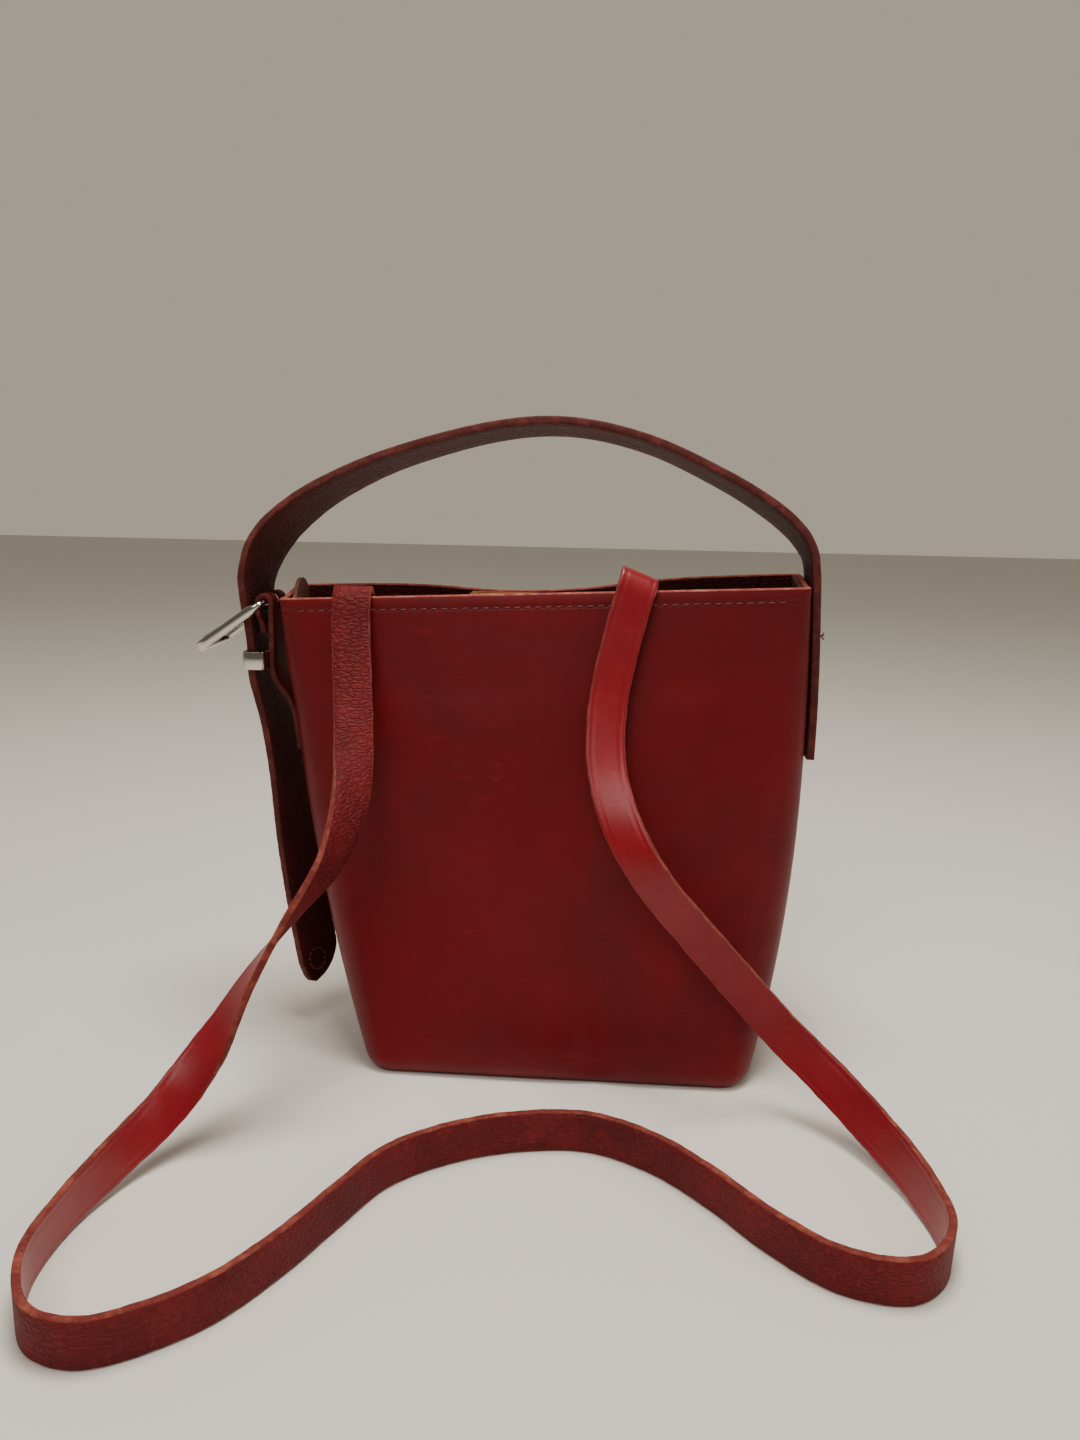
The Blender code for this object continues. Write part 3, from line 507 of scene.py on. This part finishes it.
def seam_point(p):
    """Presses the base's seam into the two flanks."""
    if abs(p.y) < SEAM_HALF_DEPTH and abs(p.x) > FLANK_FROM:
        return Vector((p.x - math.copysign(SEAM_GROOVE, p.x), p.y, p.z))
    return p


def body_shell():
    """The whole body: folded base, walls, raw rim and inside, in one sheet of leather."""
    levels = list(np.linspace(BASE_FOLD_RADIUS, BODY_HEIGHT - EDGE_START, 64))
    levels = [z for z in levels if abs(z - STITCH_LEVEL) > 0.0009]
    levels += [0.0068, SEAM_LEVEL, 0.0076]
    levels += [STITCH_LEVEL - STITCH_GROOVE_HALF, STITCH_LEVEL, STITCH_LEVEL + STITCH_GROOVE_HALF]
    rings, kinds = [], []

    def add(ring, kind):
        rings.append(ring)
        kinds.append(kind)

    radius = BASE_FOLD_RADIUS
    for i in range(FOLD_STEPS):
        turn = math.pi / 2 * i / FOLD_STEPS
        add(body_ring(radius - radius * math.cos(turn), 0, radius * (1 - math.sin(turn))), 0)
    for z in sorted(levels):
        ring = body_ring(z, STITCH_GROOVE if z == STITCH_LEVEL else 0, 0)
        if z == SEAM_LEVEL:
            ring = [seam_point(p) for p in ring]
        add(ring, 0)
    for inset, drop in RIM_PROFILE:
        add(body_ring(BODY_HEIGHT - drop, inset, 0, False), 1)
    for z in np.linspace(BODY_HEIGHT - EDGE_START, BASE_FOLD_RADIUS, 40):
        add(body_ring(z, LEATHER, 0), 2)
    inner = BASE_FOLD_RADIUS - LEATHER
    for i in range(5, -1, -1):
        turn = math.pi / 2 * i / 6
        add(body_ring(BASE_FOLD_RADIUS - inner * math.cos(turn), LEATHER, inner * (1 - math.sin(turn))), 2)
    count = len(rings[0])
    faces = grid_faces(len(rings), count)
    indices = []
    for i in range(len(rings) - 1):
        kind = 1 if kinds[i] == 1 or kinds[i + 1] == 1 else kinds[i + 1]
        indices += [kind] * count
    points = [p for ring in rings for p in ring]
    last = count * (len(rings) - 1)
    for first, z, kind in ((0, 0.0, 0), (last, LEATHER, 2)):
        faces += [(len(points), first + k, first + (k + 1) % count) for k in range(count)]
        indices += [kind] * count
        points.append(Vector((0.004, 0.003, z)))
    shell = add_mesh("body_shell", points, faces, [BODY, RIM_EDGE, LINING], indices, smooth=50)
    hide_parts("body_wrap")
    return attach(shell, "bag")


# Straps -------------------------------------------------------------------------------------------


def strap(
    name, stations, width, thick, mats, step, creases=False, shape=None, cup=0.0, wander=0.0, skew=0.0
):
    """A flat strap with rounded edges. mats are the face on the normal's side, the other face and the edges.
    stations hold a centre point and the width's direction; the normal is their cross product.
    creases presses a line along each edge, and wander makes the cut edges a little uneven.
    shape gives the half width along the strap, and cup bows the strap across its width.
    skew moves a narrowed stretch towards one edge, up to 1 or -1 for a straight edge there."""
    line = smooth_line(stations, step)
    centres, wides = line[:, :3], line[:, 3:6]
    along = np.gradient(centres, axis=0)
    along /= np.linalg.norm(along, axis=1, keepdims=True)
    wides = wides - along * (wides * along).sum(1, keepdims=True)
    wides /= np.linalg.norm(wides, axis=1, keepdims=True)
    normals = np.cross(wides, along)
    run = np.r_[0, np.cumsum(np.linalg.norm(np.diff(centres, axis=0), axis=1))]
    half, deep, r = width / 2, thick / 2, 0.00035
    # The profile: place across from -1 to 1, distance in from the edge, height in half thicknesses,
    # and which of the three materials.
    columns = [(-1, r, 1, 0)]
    if creases:
        columns += [(-1, 0.0014, 1, 0), (-1, 0.0020, 0.90, 0), (-1, 0.0027, 1.02, 0)]
    columns += [(-0.5, 0, 1.02, 0), (0, 0, 1.03, 0), (0.5, 0, 1.02, 0)]
    if creases:
        columns += [(1, 0.0027, 1.02, 0), (1, 0.0020, 0.90, 0), (1, 0.0014, 1, 0)]
    columns += [(1, r, 1, 0), (1, 0.3 * r, 0.86, 2), (1, 0, 0.5, 2), (1, 0, -0.5, 2)]
    columns += [(1, 0.3 * r, -0.86, 2), (1, r, -1, 1)]
    columns += [(0.5, 0, -1, 1), (0, 0, -1, 1), (-0.5, 0, -1, 1), (-1, r, -1, 1)]
    columns += [(-1, 0.3 * r, -0.86, 2), (-1, 0, -0.5, 2), (-1, 0, 0.5, 2), (-1, 0.3 * r, 0.86, 2)]
    points = []
    for i in range(len(line)):
        w = half if shape is None else shape(run[i], run[-1])
        rough = wander * (math.sin(run[i] * 900) + math.sin(run[i] * 2130 + 1))
        for place_across, margin, height, kind in columns:
            if abs(place_across) == 1:
                a = place_across * max(w - margin * min(w / half, 1), 0.0003) + place_across * rough
            else:
                a = place_across * w
            lift = height * deep - cup * (1 - (a / half) ** 2)
            points.append(centres[i] + wides[i] * (a + skew * (half - w)) + normals[i] * lift)
    count = len(columns)
    faces = grid_faces(len(line), count)
    kinds = [c[3] for c in columns]
    indices = []
    for i in range(len(line) - 1):
        for k in range(count):
            a, b = kinds[k], kinds[(k + 1) % count]
            indices.append(2 if 2 in (a, b) else a)
    last = count * (len(line) - 1)
    faces += [tuple(reversed(range(count))), tuple(range(last, last + count))]
    indices += [2, 2]
    return add_mesh(name, points, faces, mats, indices, smooth=60)


def upright(points, twists):
    """Stations from (x, z) points at y 0, or (x, y, z) points. The width is along Y, turned about Z by a
    twist in degrees."""
    found = []
    for point, twist in zip(points, twists):
        x, y, z = point if len(point) == 3 else (point[0], 0.0, point[1])
        turn = math.radians(twist)
        found.append((x, y, z, math.sin(turn), math.cos(turn), 0.0))
    return found


def leaned(stations):
    """The arch's stations, leaning back about the line through both roots."""
    lean = Matrix.Rotation(-HANDLE_LEAN, 4, ROOT_RIGHT - ROOT_LEFT)
    places = [ROOT_LEFT + lean @ (Vector(station[:3]) - ROOT_LEFT) for station in stations]
    return [(*place, *(lean @ Vector(station[3:]))) for place, station in zip(places, stations)]


def handle_strap():
    """One strap: sewn to the +X flank, over the mouth, and down through the buckle into the keeper."""
    sewn = (0.1186, 0.125, 0.137, 0.150, 0.163, 0.175, 0.1835)
    anchor = [flank_point(0, z, -HANDLE_GAP - HANDLE_THICK / 2, 1) for z in sewn]
    anchor = upright([tuple(p) for p in anchor] + [(0.0922, 0.0, 0.1935)], [0] * 8)
    crown = [(0.0905, 0.2005), (0.0855, 0.2080), (0.0750, 0.2168), (0.0565, 0.2278), (0.0280, 0.2405)]
    crown += [(-0.0020, 0.2466), (-0.0320, 0.2442), (-0.0690, 0.2335), (-0.0950, 0.2212)]
    crown += [(-0.1112, 0.2092), (-0.1200, 0.1985)]
    crown = leaned(upright(crown, [0, -3, -5, -3, 0, 2, 3, 10, 19, 25, 25]))
    run = [(-0.1240, 0.1880), (-0.1247, 0.1800), (-0.1247, 0.1740)]
    run += [(-0.1243, 0.1660), (-0.1241, 0.1600), (-0.1240, 0.1530)]
    stations = anchor + crown + upright(run, [20, 13, 9, 4, 2, 2])
    # The flesh side takes the darkened handle flesh: painted shade.
    mats = [HANDLE, HANDLE_FLESH_SHADED, HANDLE_EDGE]
    piece = strap(
        "handle_strap", stations, HANDLE_WIDTH, HANDLE_THICK, mats, 0.0022, cup=-0.0002, wander=0.00006
    )
    drill(piece, PRONG_HOLE, PRONG_HOLE_SIZE)
    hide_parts("handle_anchor", "handle_arch", "handle_run")
    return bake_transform(piece)


def handle_tail():
    """The loose end below the keeper, its flesh side turned to the front, with a rounded tip."""
    points = [(-0.1240, 0.1530), (-0.1236, 0.1472), (-0.1213, 0.1400), (-0.1176, 0.1280), (-0.1141, 0.1085)]
    points += [(-0.1111, 0.0792), (-0.1072, 0.0504), (-0.1034, 0.0270), (-0.1016, 0.0175)]
    stations = upright(points, [2, 3, 7, 13, 19, 24, 26, 27, 27])

    def tip(run, total):
        left = max(total - run, 0.0)
        return HANDLE_WIDTH / 2 * ((1 - (1 - left / TIP_LENGTH) ** 2) ** 0.55 if left < TIP_LENGTH else 1.0)

    mats, thick = [HANDLE, HANDLE_FLESH_SHADED, HANDLE_EDGE], HANDLE_THICK
    looks = dict(shape=tip, cup=-0.0003, wander=0.00006, skew=-0.50)
    piece = strap("handle_tail_end", stations, HANDLE_WIDTH, thick, mats, 0.0010, **looks)
    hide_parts("handle_tail")
    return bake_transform(piece)


def buckle_tab():
    """The leather tab, sewn on the flank and folded round the buckle's bar."""
    loop = BAR_RADIUS + BAR_CLEARANCE + TAB_THICK / 2
    points = [(-0.1062, 0.1190), (-0.1070, 0.1260), (-0.1080, 0.1330), (-0.1104, 0.1395), (-0.1145, 0.1450)]
    points += [(-0.1165, 0.1505), (-0.1166, 0.1600), (-0.1166, 0.1670), (BAR_X + loop, 0.1730)]
    for i in range(7):
        turn = math.pi * i / 6
        points.append((BAR_X + loop * math.cos(turn), BAR_Z + loop * math.sin(turn)))
    points += [(BAR_X - loop, 0.1730), (-0.1202, 0.1685), (-0.1196, 0.1650)]
    # The tab's grain face takes the darkened copy of the body leather: painted shade.
    mats = [TAB_SHADED, STRAP_FLESH, HANDLE_EDGE]
    stations = upright(points, [0] * len(points))
    piece = strap("tab_fold", stations, TAB_WIDTH, TAB_THICK, mats, 0.0011, wander=0.00005)
    drill(piece, (BAR_X, 0, TAB_SLOT_HEIGHT), TAB_SLOT_SIZE)
    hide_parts("buckle_tab")
    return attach(piece, "bag")


# Route of the shoulder strap, as in the CAD part: a centre point and the direction of the width.
SHOULDER_ROUTE = (
    ((-0.0822, -0.0131, 0.1570), (1.0, 0.0, 0.0)),
    ((-0.0822, -0.0107, 0.1760), (1.0, 0.0, 0.0)),
    ((-0.0822, -0.0102, 0.1800), (1.0, 0.0, 0.0)),
    ((-0.0822, -0.0150, 0.1838), (1.0, 0.0, 0.0)),
    ((-0.0821, -0.0188, 0.1802), (1.0, 0.0, 0.0)),
    ((-0.0819, -0.0215, 0.1690), (1.0, 0.0, 0.0)),
    ((-0.0800, -0.0285, 0.1490), (1.0, 0.1, 0.0)),
    ((-0.0775, -0.0390, 0.1295), (0.95, 0.30, -0.08)),
    ((-0.0755, -0.0535, 0.1115), (0.75, 0.55, -0.35)),
    ((-0.0795, -0.0670, 0.0930), (0.38, 0.80, -0.42)),
    ((-0.0920, -0.0765, 0.0745), (0.00, 0.95, -0.25)),
    ((-0.1045, -0.0850, 0.0550), (-0.25, 0.88, 0.15)),
    ((-0.1150, -0.0940, 0.0350), (-0.35, 0.60, 0.60)),
    ((-0.1265, -0.1055, 0.0185), (-0.35, 0.28, 0.88)),
    ((-0.1365, -0.1235, 0.0105), (-0.20, 0.08, 0.97)),
    ((-0.1418, -0.1465, 0.0080), (0.0, 0.0, 1.0)),
    ((-0.1412, -0.1700, 0.0076), (0.0, 0.0, 1.0)),
    ((-0.1315, -0.1890, 0.0076), (0.0, 0.0, 1.0)),
    ((-0.1185, -0.1950, 0.0076), (0.0, 0.0, 1.0)),
    ((-0.1050, -0.1918, 0.0076), (0.0, 0.0, 1.0)),
    ((-0.0866, -0.1779, 0.0076), (0.0, 0.0, 1.0)),
    ((-0.0730, -0.1579, 0.0076), (0.0, 0.0, 1.0)),
    ((-0.0622, -0.1362, 0.0076), (0.0, 0.0, 1.0)),
    ((-0.0508, -0.1149, 0.0076), (0.0, 0.0, 1.0)),
    ((-0.0321, -0.1002, 0.0076), (0.0, 0.0, 1.0)),
    ((-0.0095, -0.0915, 0.0076), (0.0, 0.0, 1.0)),
    ((0.0144, -0.0897, 0.0076), (0.0, 0.0, 1.0)),
    ((0.0360, -0.1000, 0.0076), (0.0, 0.0, 1.0)),
    ((0.0535, -0.1167, 0.0076), (0.0, 0.0, 1.0)),
    ((0.0690, -0.1354, 0.0076), (0.0, 0.0, 1.0)),
    ((0.0871, -0.1504, 0.0076), (0.0, 0.0, 1.0)),
    ((0.1080, -0.1525, 0.0076), (0.0, 0.0, 1.0)),
    ((0.1212, -0.1360, 0.0076), (0.05, 0.0, 1.0)),
    ((0.1195, -0.1100, 0.0086), (0.20, 0.0, 0.98)),
    ((0.1104, -0.0865, 0.0125), (0.42, 0.05, 0.90)),
    ((0.0977, -0.0690, 0.0205), (0.60, 0.05, 0.79)),
    ((0.0820, -0.0590, 0.0325), (0.68, 0.0, 0.72)),
    ((0.0660, -0.0555, 0.0490), (0.72, -0.10, 0.68)),
    ((0.0502, -0.0565, 0.0670), (0.74, -0.20, 0.64)),
    ((0.0345, -0.0570, 0.0855), (0.78, -0.28, 0.55)),
    ((0.0225, -0.0490, 0.1040), (0.88, -0.10, 0.28)),
    ((0.0160, -0.0375, 0.1235), (0.97, 0.05, 0.0)),
    ((0.0160, -0.0283, 0.1455), (0.97, 0.05, -0.12)),
    ((0.0205, -0.0232, 0.1690), (0.97, 0.02, -0.24)),
    ((0.0240, -0.0206, 0.1828), (0.94, 0.0, -0.34)),
    ((0.0256, -0.0192, 0.1882), (0.91, 0.0, -0.40)),
    ((0.0262, -0.0150, 0.1914), (0.91, 0.0, -0.40)),
    ((0.0262, -0.0104, 0.1878), (0.97, 0.0, -0.22)),
    ((0.0262, -0.0109, 0.1820), (1.0, 0.0, 0.0)),
    ((0.0262, -0.0140, 0.1610), (1.0, 0.0, 0.0)),
)


def shoulder_strap():
    stations = [(*point, *wide) for point, wide in SHOULDER_ROUTE]
    mats, thick = [STRAP, STRAP_FLESH, STRAP_EDGE], SHOULDER_THICK
    looks = dict(creases=True, wander=0.00007)
    piece = strap("shoulder_band", stations, SHOULDER_WIDTH, thick, mats, 0.0025, **looks)
    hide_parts("shoulder_strap")
    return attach(piece, "bag")


# Stitching ----------------------------------------------------------------------------------------


# One stitch: how far along it is, and how thick there.
THREAD_PROFILE = ((0, 0.35), (0.12, 0.85), (0.35, 1.0), (0.65, 1.0), (0.88, 0.85), (1, 0.35))


def stitches(name, pairs, body, radius=0.00032, lift=0.0001):
    """Short threads, each bowed a little outward. pairs hold (start, end, outward)."""
    points, faces = [], []
    sides = 7
    for start, end, outward in pairs:
        start, end, outward = Vector(start), Vector(end), Vector(outward).normalized()
        along = (end - start).normalized()
        across = along.cross(outward).normalized()
        first = len(points)
        for t, size in THREAD_PROFILE:
            rise = lift + radius * 0.9 * math.sin(math.pi * t) - radius * 0.55
            centre = start.lerp(end, t) + outward * rise
            for k in range(sides):
                turn = 2 * math.pi * k / sides
                points.append(centre + (across * math.cos(turn) + outward * math.sin(turn)) * radius * size)
        last = first + (len(THREAD_PROFILE) - 1) * sides
        faces += [tuple(first + i for i in face) for face in grid_faces(len(THREAD_PROFILE), sides)]
        faces += [tuple(first + k for k in reversed(range(sides))), tuple(last + k for k in range(sides))]
    piece = add_mesh(name, points, faces, THREAD)
    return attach(piece, body)


def row_of(place_at, start, end, pitch, gap=0.25, slant=0.0):
    """Stitches along a line. place_at(t) gives (point, outward) at a distance along it."""
    pairs = []
    t = start
    while t + pitch <= end:
        a, out_a = place_at(t + pitch * gap / 2)
        b, out_b = place_at(t + pitch * (1 - gap / 2))
        shift = Vector((0, 0, slant))
        pairs.append((Vector(a) - shift, Vector(b) + shift, Vector(out_a) + Vector(out_b)))
        t += pitch
    return pairs


def rim_stitches():
    pitch = 0.0040
    half = 2 * (RIM_HALF_WIDTH - RIM_CORNER_RADIUS) / 2
    for side, word in ((-1, "front"), (1, "back")):

        def at(t, side=side):
            return face_point(t / half, STITCH_LEVEL, 0.0002, side), (0, side, 0)

        row = row_of(at, -half + 0.001, half - 0.001, pitch, 0.30, 0.00012)
        stitches(f"rim_stitches_{word}", row, "bag")


def handle_stitches():
    """The stitches that hold the handle's end on the +X flank, and those of the tab on the -X flank."""
    lift = -HANDLE_GAP - HANDLE_THICK
    pairs = []
    low, high, half = 0.1185, 0.168, 0.0082
    for y in (-half, half):
        pairs += row_of(lambda t, y=y: (flank_point(y, t, lift, 1), (1, 0, 0)), low, high, 0.0036)
    for z in (low, high):
        pairs += row_of(lambda t, z=z: (flank_point(t, z, lift, 1), (1, 0, 0)), -half, half, 0.0040)
    stitches("handle_end_stitches", pairs, "bag")
    tab = [(-0.1072, 0.1200), (-0.1082, 0.1270), (-0.1091, 0.1320)]

    def on_tab(t, y=0.0):
        z = min(max(t, 0.1200), 0.1320)
        x = np.interp(z, [p[1] for p in tab], [p[0] for p in tab])
        return (float(x), y, z), (-1, 0, 0)

    pairs = []
    for y in (-0.0075, 0.0075):
        pairs += row_of(lambda t, y=y: on_tab(t, y), 0.1205, 0.1325, 0.0036)
    pairs += row_of(lambda t: ((-0.1073, t, 0.1212), (-1, 0, 0)), -0.0070, 0.0070, 0.0040)
    stitches("tab_end_stitches", pairs, "bag")
    fold = row_of(lambda t: ((-0.1212, t, 0.1682), (-1, 0, 0)), -0.0080, 0.0080, 0.0036)
    stitches("tab_fold_stitches", fold, "bag", 0.0003)


def tail_stitches():
    """The ring of stitches near the tail's tip, on both faces."""
    centre = Vector((-0.1026, 0.0, 0.0268))
    along = Vector((0.0018, 0, -0.0095)).normalized()
    turn = math.radians(26)
    wide = Vector((math.sin(turn), math.cos(turn), 0)).normalized()
    normal = wide.cross(along).normalized()
    pairs = []
    count, radius = 12, 0.0046
    for side in (-1, 1):
        middle = centre + normal * side * (HANDLE_THICK / 2 + 0.0001) - wide * 0.0038
        for k in range(count):
            ends = [2 * math.pi * (k + part) / count for part in (0.14, 0.86)]
            a, b = (middle + (wide * math.cos(t) + along * math.sin(t)) * radius for t in ends)
            pairs.append((a, b, normal * side))
    stitches("tail_tip_stitches", pairs, "tail")


def burr():
    """A loose knot of thread at the edge of the handle's sewn end."""
    pairs = []
    at = flank_point(-0.0095, 0.1655, -0.0042, 1)
    for k in range(5):
        turn = k * 1.3
        end = at + Vector((0.0013, 0.0012 * math.sin(turn), 0.0016 * math.cos(turn)))
        pairs.append((at, end, (1, 0.2, 0.1)))
    stitches("loose_thread", pairs, "bag", 0.00026)


# Hardware -----------------------------------------------------------------------------------------


def on_buckle(along, rise, y=0.0):
    """A point in the buckle's own plane: away from the bar, and up from the plane."""
    c, s = math.cos(FRAME_TILT), math.sin(FRAME_TILT)
    return Vector((BAR_X - along * c - rise * s, y, BAR_Z - along * s + rise * c))


def buckle_frame():
    """The rectangular frame: a round bar for the tab, and a deeper section with soft edges elsewhere."""
    half_y = FRAME_WIDTH / 2
    path = []
    corners = ((FRAME_CORNER, 1, math.pi), (FRAME_REACH - FRAME_CORNER, 1, math.pi / 2))
    corners += ((FRAME_REACH - FRAME_CORNER, -1, 0.0), (FRAME_CORNER, -1, -math.pi / 2))
    for q, side, start in corners:
        for i in range(11):
            turn = start - math.pi / 2 * i / 10
            y = side * (half_y - FRAME_CORNER) + FRAME_CORNER * math.sin(turn)
            path.append((q + FRAME_CORNER * math.cos(turn), y))
    dense = []
    for i, a in enumerate(path):
        b = path[(i + 1) % len(path)]
        parts = max(1, round(math.dist(a, b) / 0.0015))
        for k in range(parts):
            dense.append((a[0] + (b[0] - a[0]) * k / parts, a[1] + (b[1] - a[1]) * k / parts))
    points = []
    sides = 20
    for i, (q, y) in enumerate(dense):
        ahead, behind = dense[(i + 1) % len(dense)], dense[i - 1]
        along = Vector((ahead[0] - behind[0], ahead[1] - behind[1], 0)).normalized()
        out = Vector((-along.y, along.x, 0))
        deep = ease((q - 0.5 * FRAME_CORNER) / FRAME_CORNER)
        half = BAR_RADIUS + (FRAME_HALF_HEIGHT - BAR_RADIUS) * deep
        power = 1.0 - 0.45 * deep
        for k in range(sides):
            turn = 2 * math.pi * k / sides
            c, s = math.cos(turn), math.sin(turn)
            r = BAR_RADIUS * math.copysign(abs(c) ** power, c)
            n = half * math.copysign(abs(s) ** power, s)
            points.append(on_buckle(q + out.x * r, n, y + out.y * r))
    faces = grid_faces(len(dense), sides, looped=True)
    piece = add_mesh("buckle_ring", points, faces, NICKEL, smooth=60)
    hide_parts("buckle_frame")
    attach(piece, "frame")


def buckle_prong():
    """The prong, curled round the bar and narrowing to a soft tip."""
    curl = BAR_RADIUS + BAR_CLEARANCE + 0.0007
    points = []
    for i in range(13):
        turn = math.radians(-15 - 255 * i / 12)
        points.append((curl * math.cos(turn), curl * math.sin(turn)))
    points += [(0.0060, 0.0025), (0.0150, 0.0024), (0.0250, 0.0028), (0.0325, 0.0031)]
    stations = [(*on_buckle(q, n), 0.0, 1.0, 0.0) for q, n in points]

    def tip(run, total):
        left = max(total - run, 0.0)
        taper = PRONG_WIDTH / 2 * (1 - 0.25 * ease(run / total))
        return taper * math.sqrt(1 - (1 - min(left / 0.0016, 1)) ** 2)

    piece = strap("buckle_pin", stations, PRONG_WIDTH, PRONG_THICK, [NICKEL] * 3, 0.0005, shape=tip)
    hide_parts("buckle_prong")
    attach(piece, "prong")


def keeper():
    """The flat polished loop, with softened edges."""
    (x0, _, z0), (x1, y1, z1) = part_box("keeper")
    corner, wall, soft = 0.0028, 0.0009, 0.00022
    high, steps = z1 - z0, 12
    profile = [(0, soft), (0, high - soft), (soft * 0.3, high - soft * 0.3), (soft, high)]
    profile += [(wall - soft, high), (wall, high - soft), (wall, soft), (wall - soft, 0)]
    profile += [(soft, 0), (soft * 0.3, soft * 0.3)]
    right, left, far, near = x1 - corner, x0 + corner, y1 - corner, corner - y1
    points = []
    for inset, z in profile:
        for start, (cx, cy) in enumerate(((right, far), (left, far), (left, near), (right, near))):
            for i in range(steps + 1):
                turn = math.pi / 2 * (start + i / steps)
                r = corner - inset
                points.append((cx + r * math.cos(turn), cy + r * math.sin(turn), z0 + z))
    faces = grid_faces(len(profile), 4 * (steps + 1), looped=True)
    piece = add_mesh("keeper_loop", points, faces, NICKEL, smooth=40)
    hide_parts("keeper")
    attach(piece, "keeper")


def repaint(names, mat):
    """CAD nodes whose shape is right keep it and take a better material."""
    for name in names:
        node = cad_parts[name]
        node.data.materials.clear()
        node.data.materials.append(mat)


# Room ---------------------------------------------------------------------------------------------


def room():
    """A pale floor, a plain surround and three soft lamps."""
    n = Nodes("pale_table")
    soft = n.noise(1.2, 3, 0.5)
    floor_colour = n.mix(n.ramp(soft, 0.3, 0.7), (0.80, 0.77, 0.72), (0.77, 0.74, 0.69))
    floor_mat = n.finish(floor_colour, 0.5, specular=0.3)
    bpy.ops.mesh.primitive_plane_add(size=8)
    floor = bpy.context.active_object
    floor.name = "floor"
    floor.data.materials.append(floor_mat)
    world = bpy.data.worlds.new("pale")
    bpy.context.scene.world = world
    world.use_nodes = True
    tree = world.node_tree
    back = tree.nodes["Background"]
    # The pale wall is behind the bag, and the room in front of it is dim, so leather and metal show depth.
    place = tree.nodes.new("ShaderNodeTexCoord")
    parts = tree.nodes.new("ShaderNodeSeparateXYZ")
    ahead = tree.nodes.new("ShaderNodeMapRange")
    tone = tree.nodes.new("ShaderNodeMix")
    tone.data_type = "RGBA"
    tree.links.new(place.outputs["Generated"], parts.inputs["Vector"])
    tree.links.new(parts.outputs["Y"], ahead.inputs["Value"])
    ahead.inputs["From Min"].default_value = -0.3
    ahead.inputs["From Max"].default_value = 0.5
    tree.links.new(ahead.outputs["Result"], tone.inputs["Factor"])
    tone.inputs["A"].default_value = (0.17, 0.15, 0.125, 1)
    tone.inputs["B"].default_value = (0.56, 0.50, 0.40, 1)
    tree.links.new(tone.outputs["Result"], back.inputs["Color"])
    back.inputs["Strength"].default_value = 0.75
    lamps = (
        ("overhead", (0.02, -0.05, 1.10), (0, 0, 0), 0.40, 11.0, (1.0, 0.94, 0.86)),
        ("front", (-0.30, -1.00, 1.25), (0, 0, 0.1), 0.7, 8.0, (1.0, 0.94, 0.87)),
        ("side", (1.10, -0.45, 0.75), (0, 0, 0.1), 0.5, 2.5, (1.0, 0.95, 0.90)),
    )
    for name, at, target, size, power, colour in lamps:
        data = bpy.data.lights.new(name, "AREA")
        data.size, data.energy, data.color = size, power, colour
        lamp = bpy.data.objects.new(name, data)
        lamp.location = at
        lamp.rotation_euler = (Vector(target) - Vector(at)).to_track_quat("-Z", "Y").to_euler()
        bpy.context.scene.collection.objects.link(lamp)


def camera():
    """Looks at the bag from the front, a little above it."""
    yaw, pitch, roll = CAMERA_YAW, CAMERA_PITCH, CAMERA_ROLL
    flat = math.cos(pitch)
    forward = Vector((math.sin(yaw) * flat, math.cos(yaw) * flat, -math.sin(pitch)))
    level = Vector((math.cos(yaw), -math.sin(yaw), 0))
    up = level.cross(forward)
    right = level * math.cos(roll) + up * math.sin(roll)
    up = up * math.cos(roll) - level * math.sin(roll)
    data = bpy.data.cameras.new("camera")
    data.lens, data.sensor_width, data.clip_start = CAMERA_LENS, CAMERA_SENSOR, 0.01
    eye = bpy.data.objects.new("camera", data)
    turned = Matrix((right, up, -forward)).transposed().to_4x4()
    eye.matrix_world = Matrix.Translation(CAMERA_PLACE) @ turned
    bpy.context.scene.collection.objects.link(eye)
    bpy.context.scene.camera = eye


camera()
room()
body_shell()
handle_strap()
handle_tail()
buckle_tab()
shoulder_strap()
rim_stitches()
handle_stitches()
tail_stitches()
burr()
buckle_frame()
buckle_prong()
keeper()
repaint(("facing_front", "facing_back", "strap_anchor_left", "strap_anchor_right"), LINING)
repaint(("handle_backing_left", "handle_backing_right"), BROWN_FLESH)
repaint(("closure_patch_front", "closure_patch_back"), TAN)
repaint(("snap_stud", "snap_socket", "snap_plate_front", "snap_plate_back"), NICKEL)
repaint(("base_board",), BOARD)
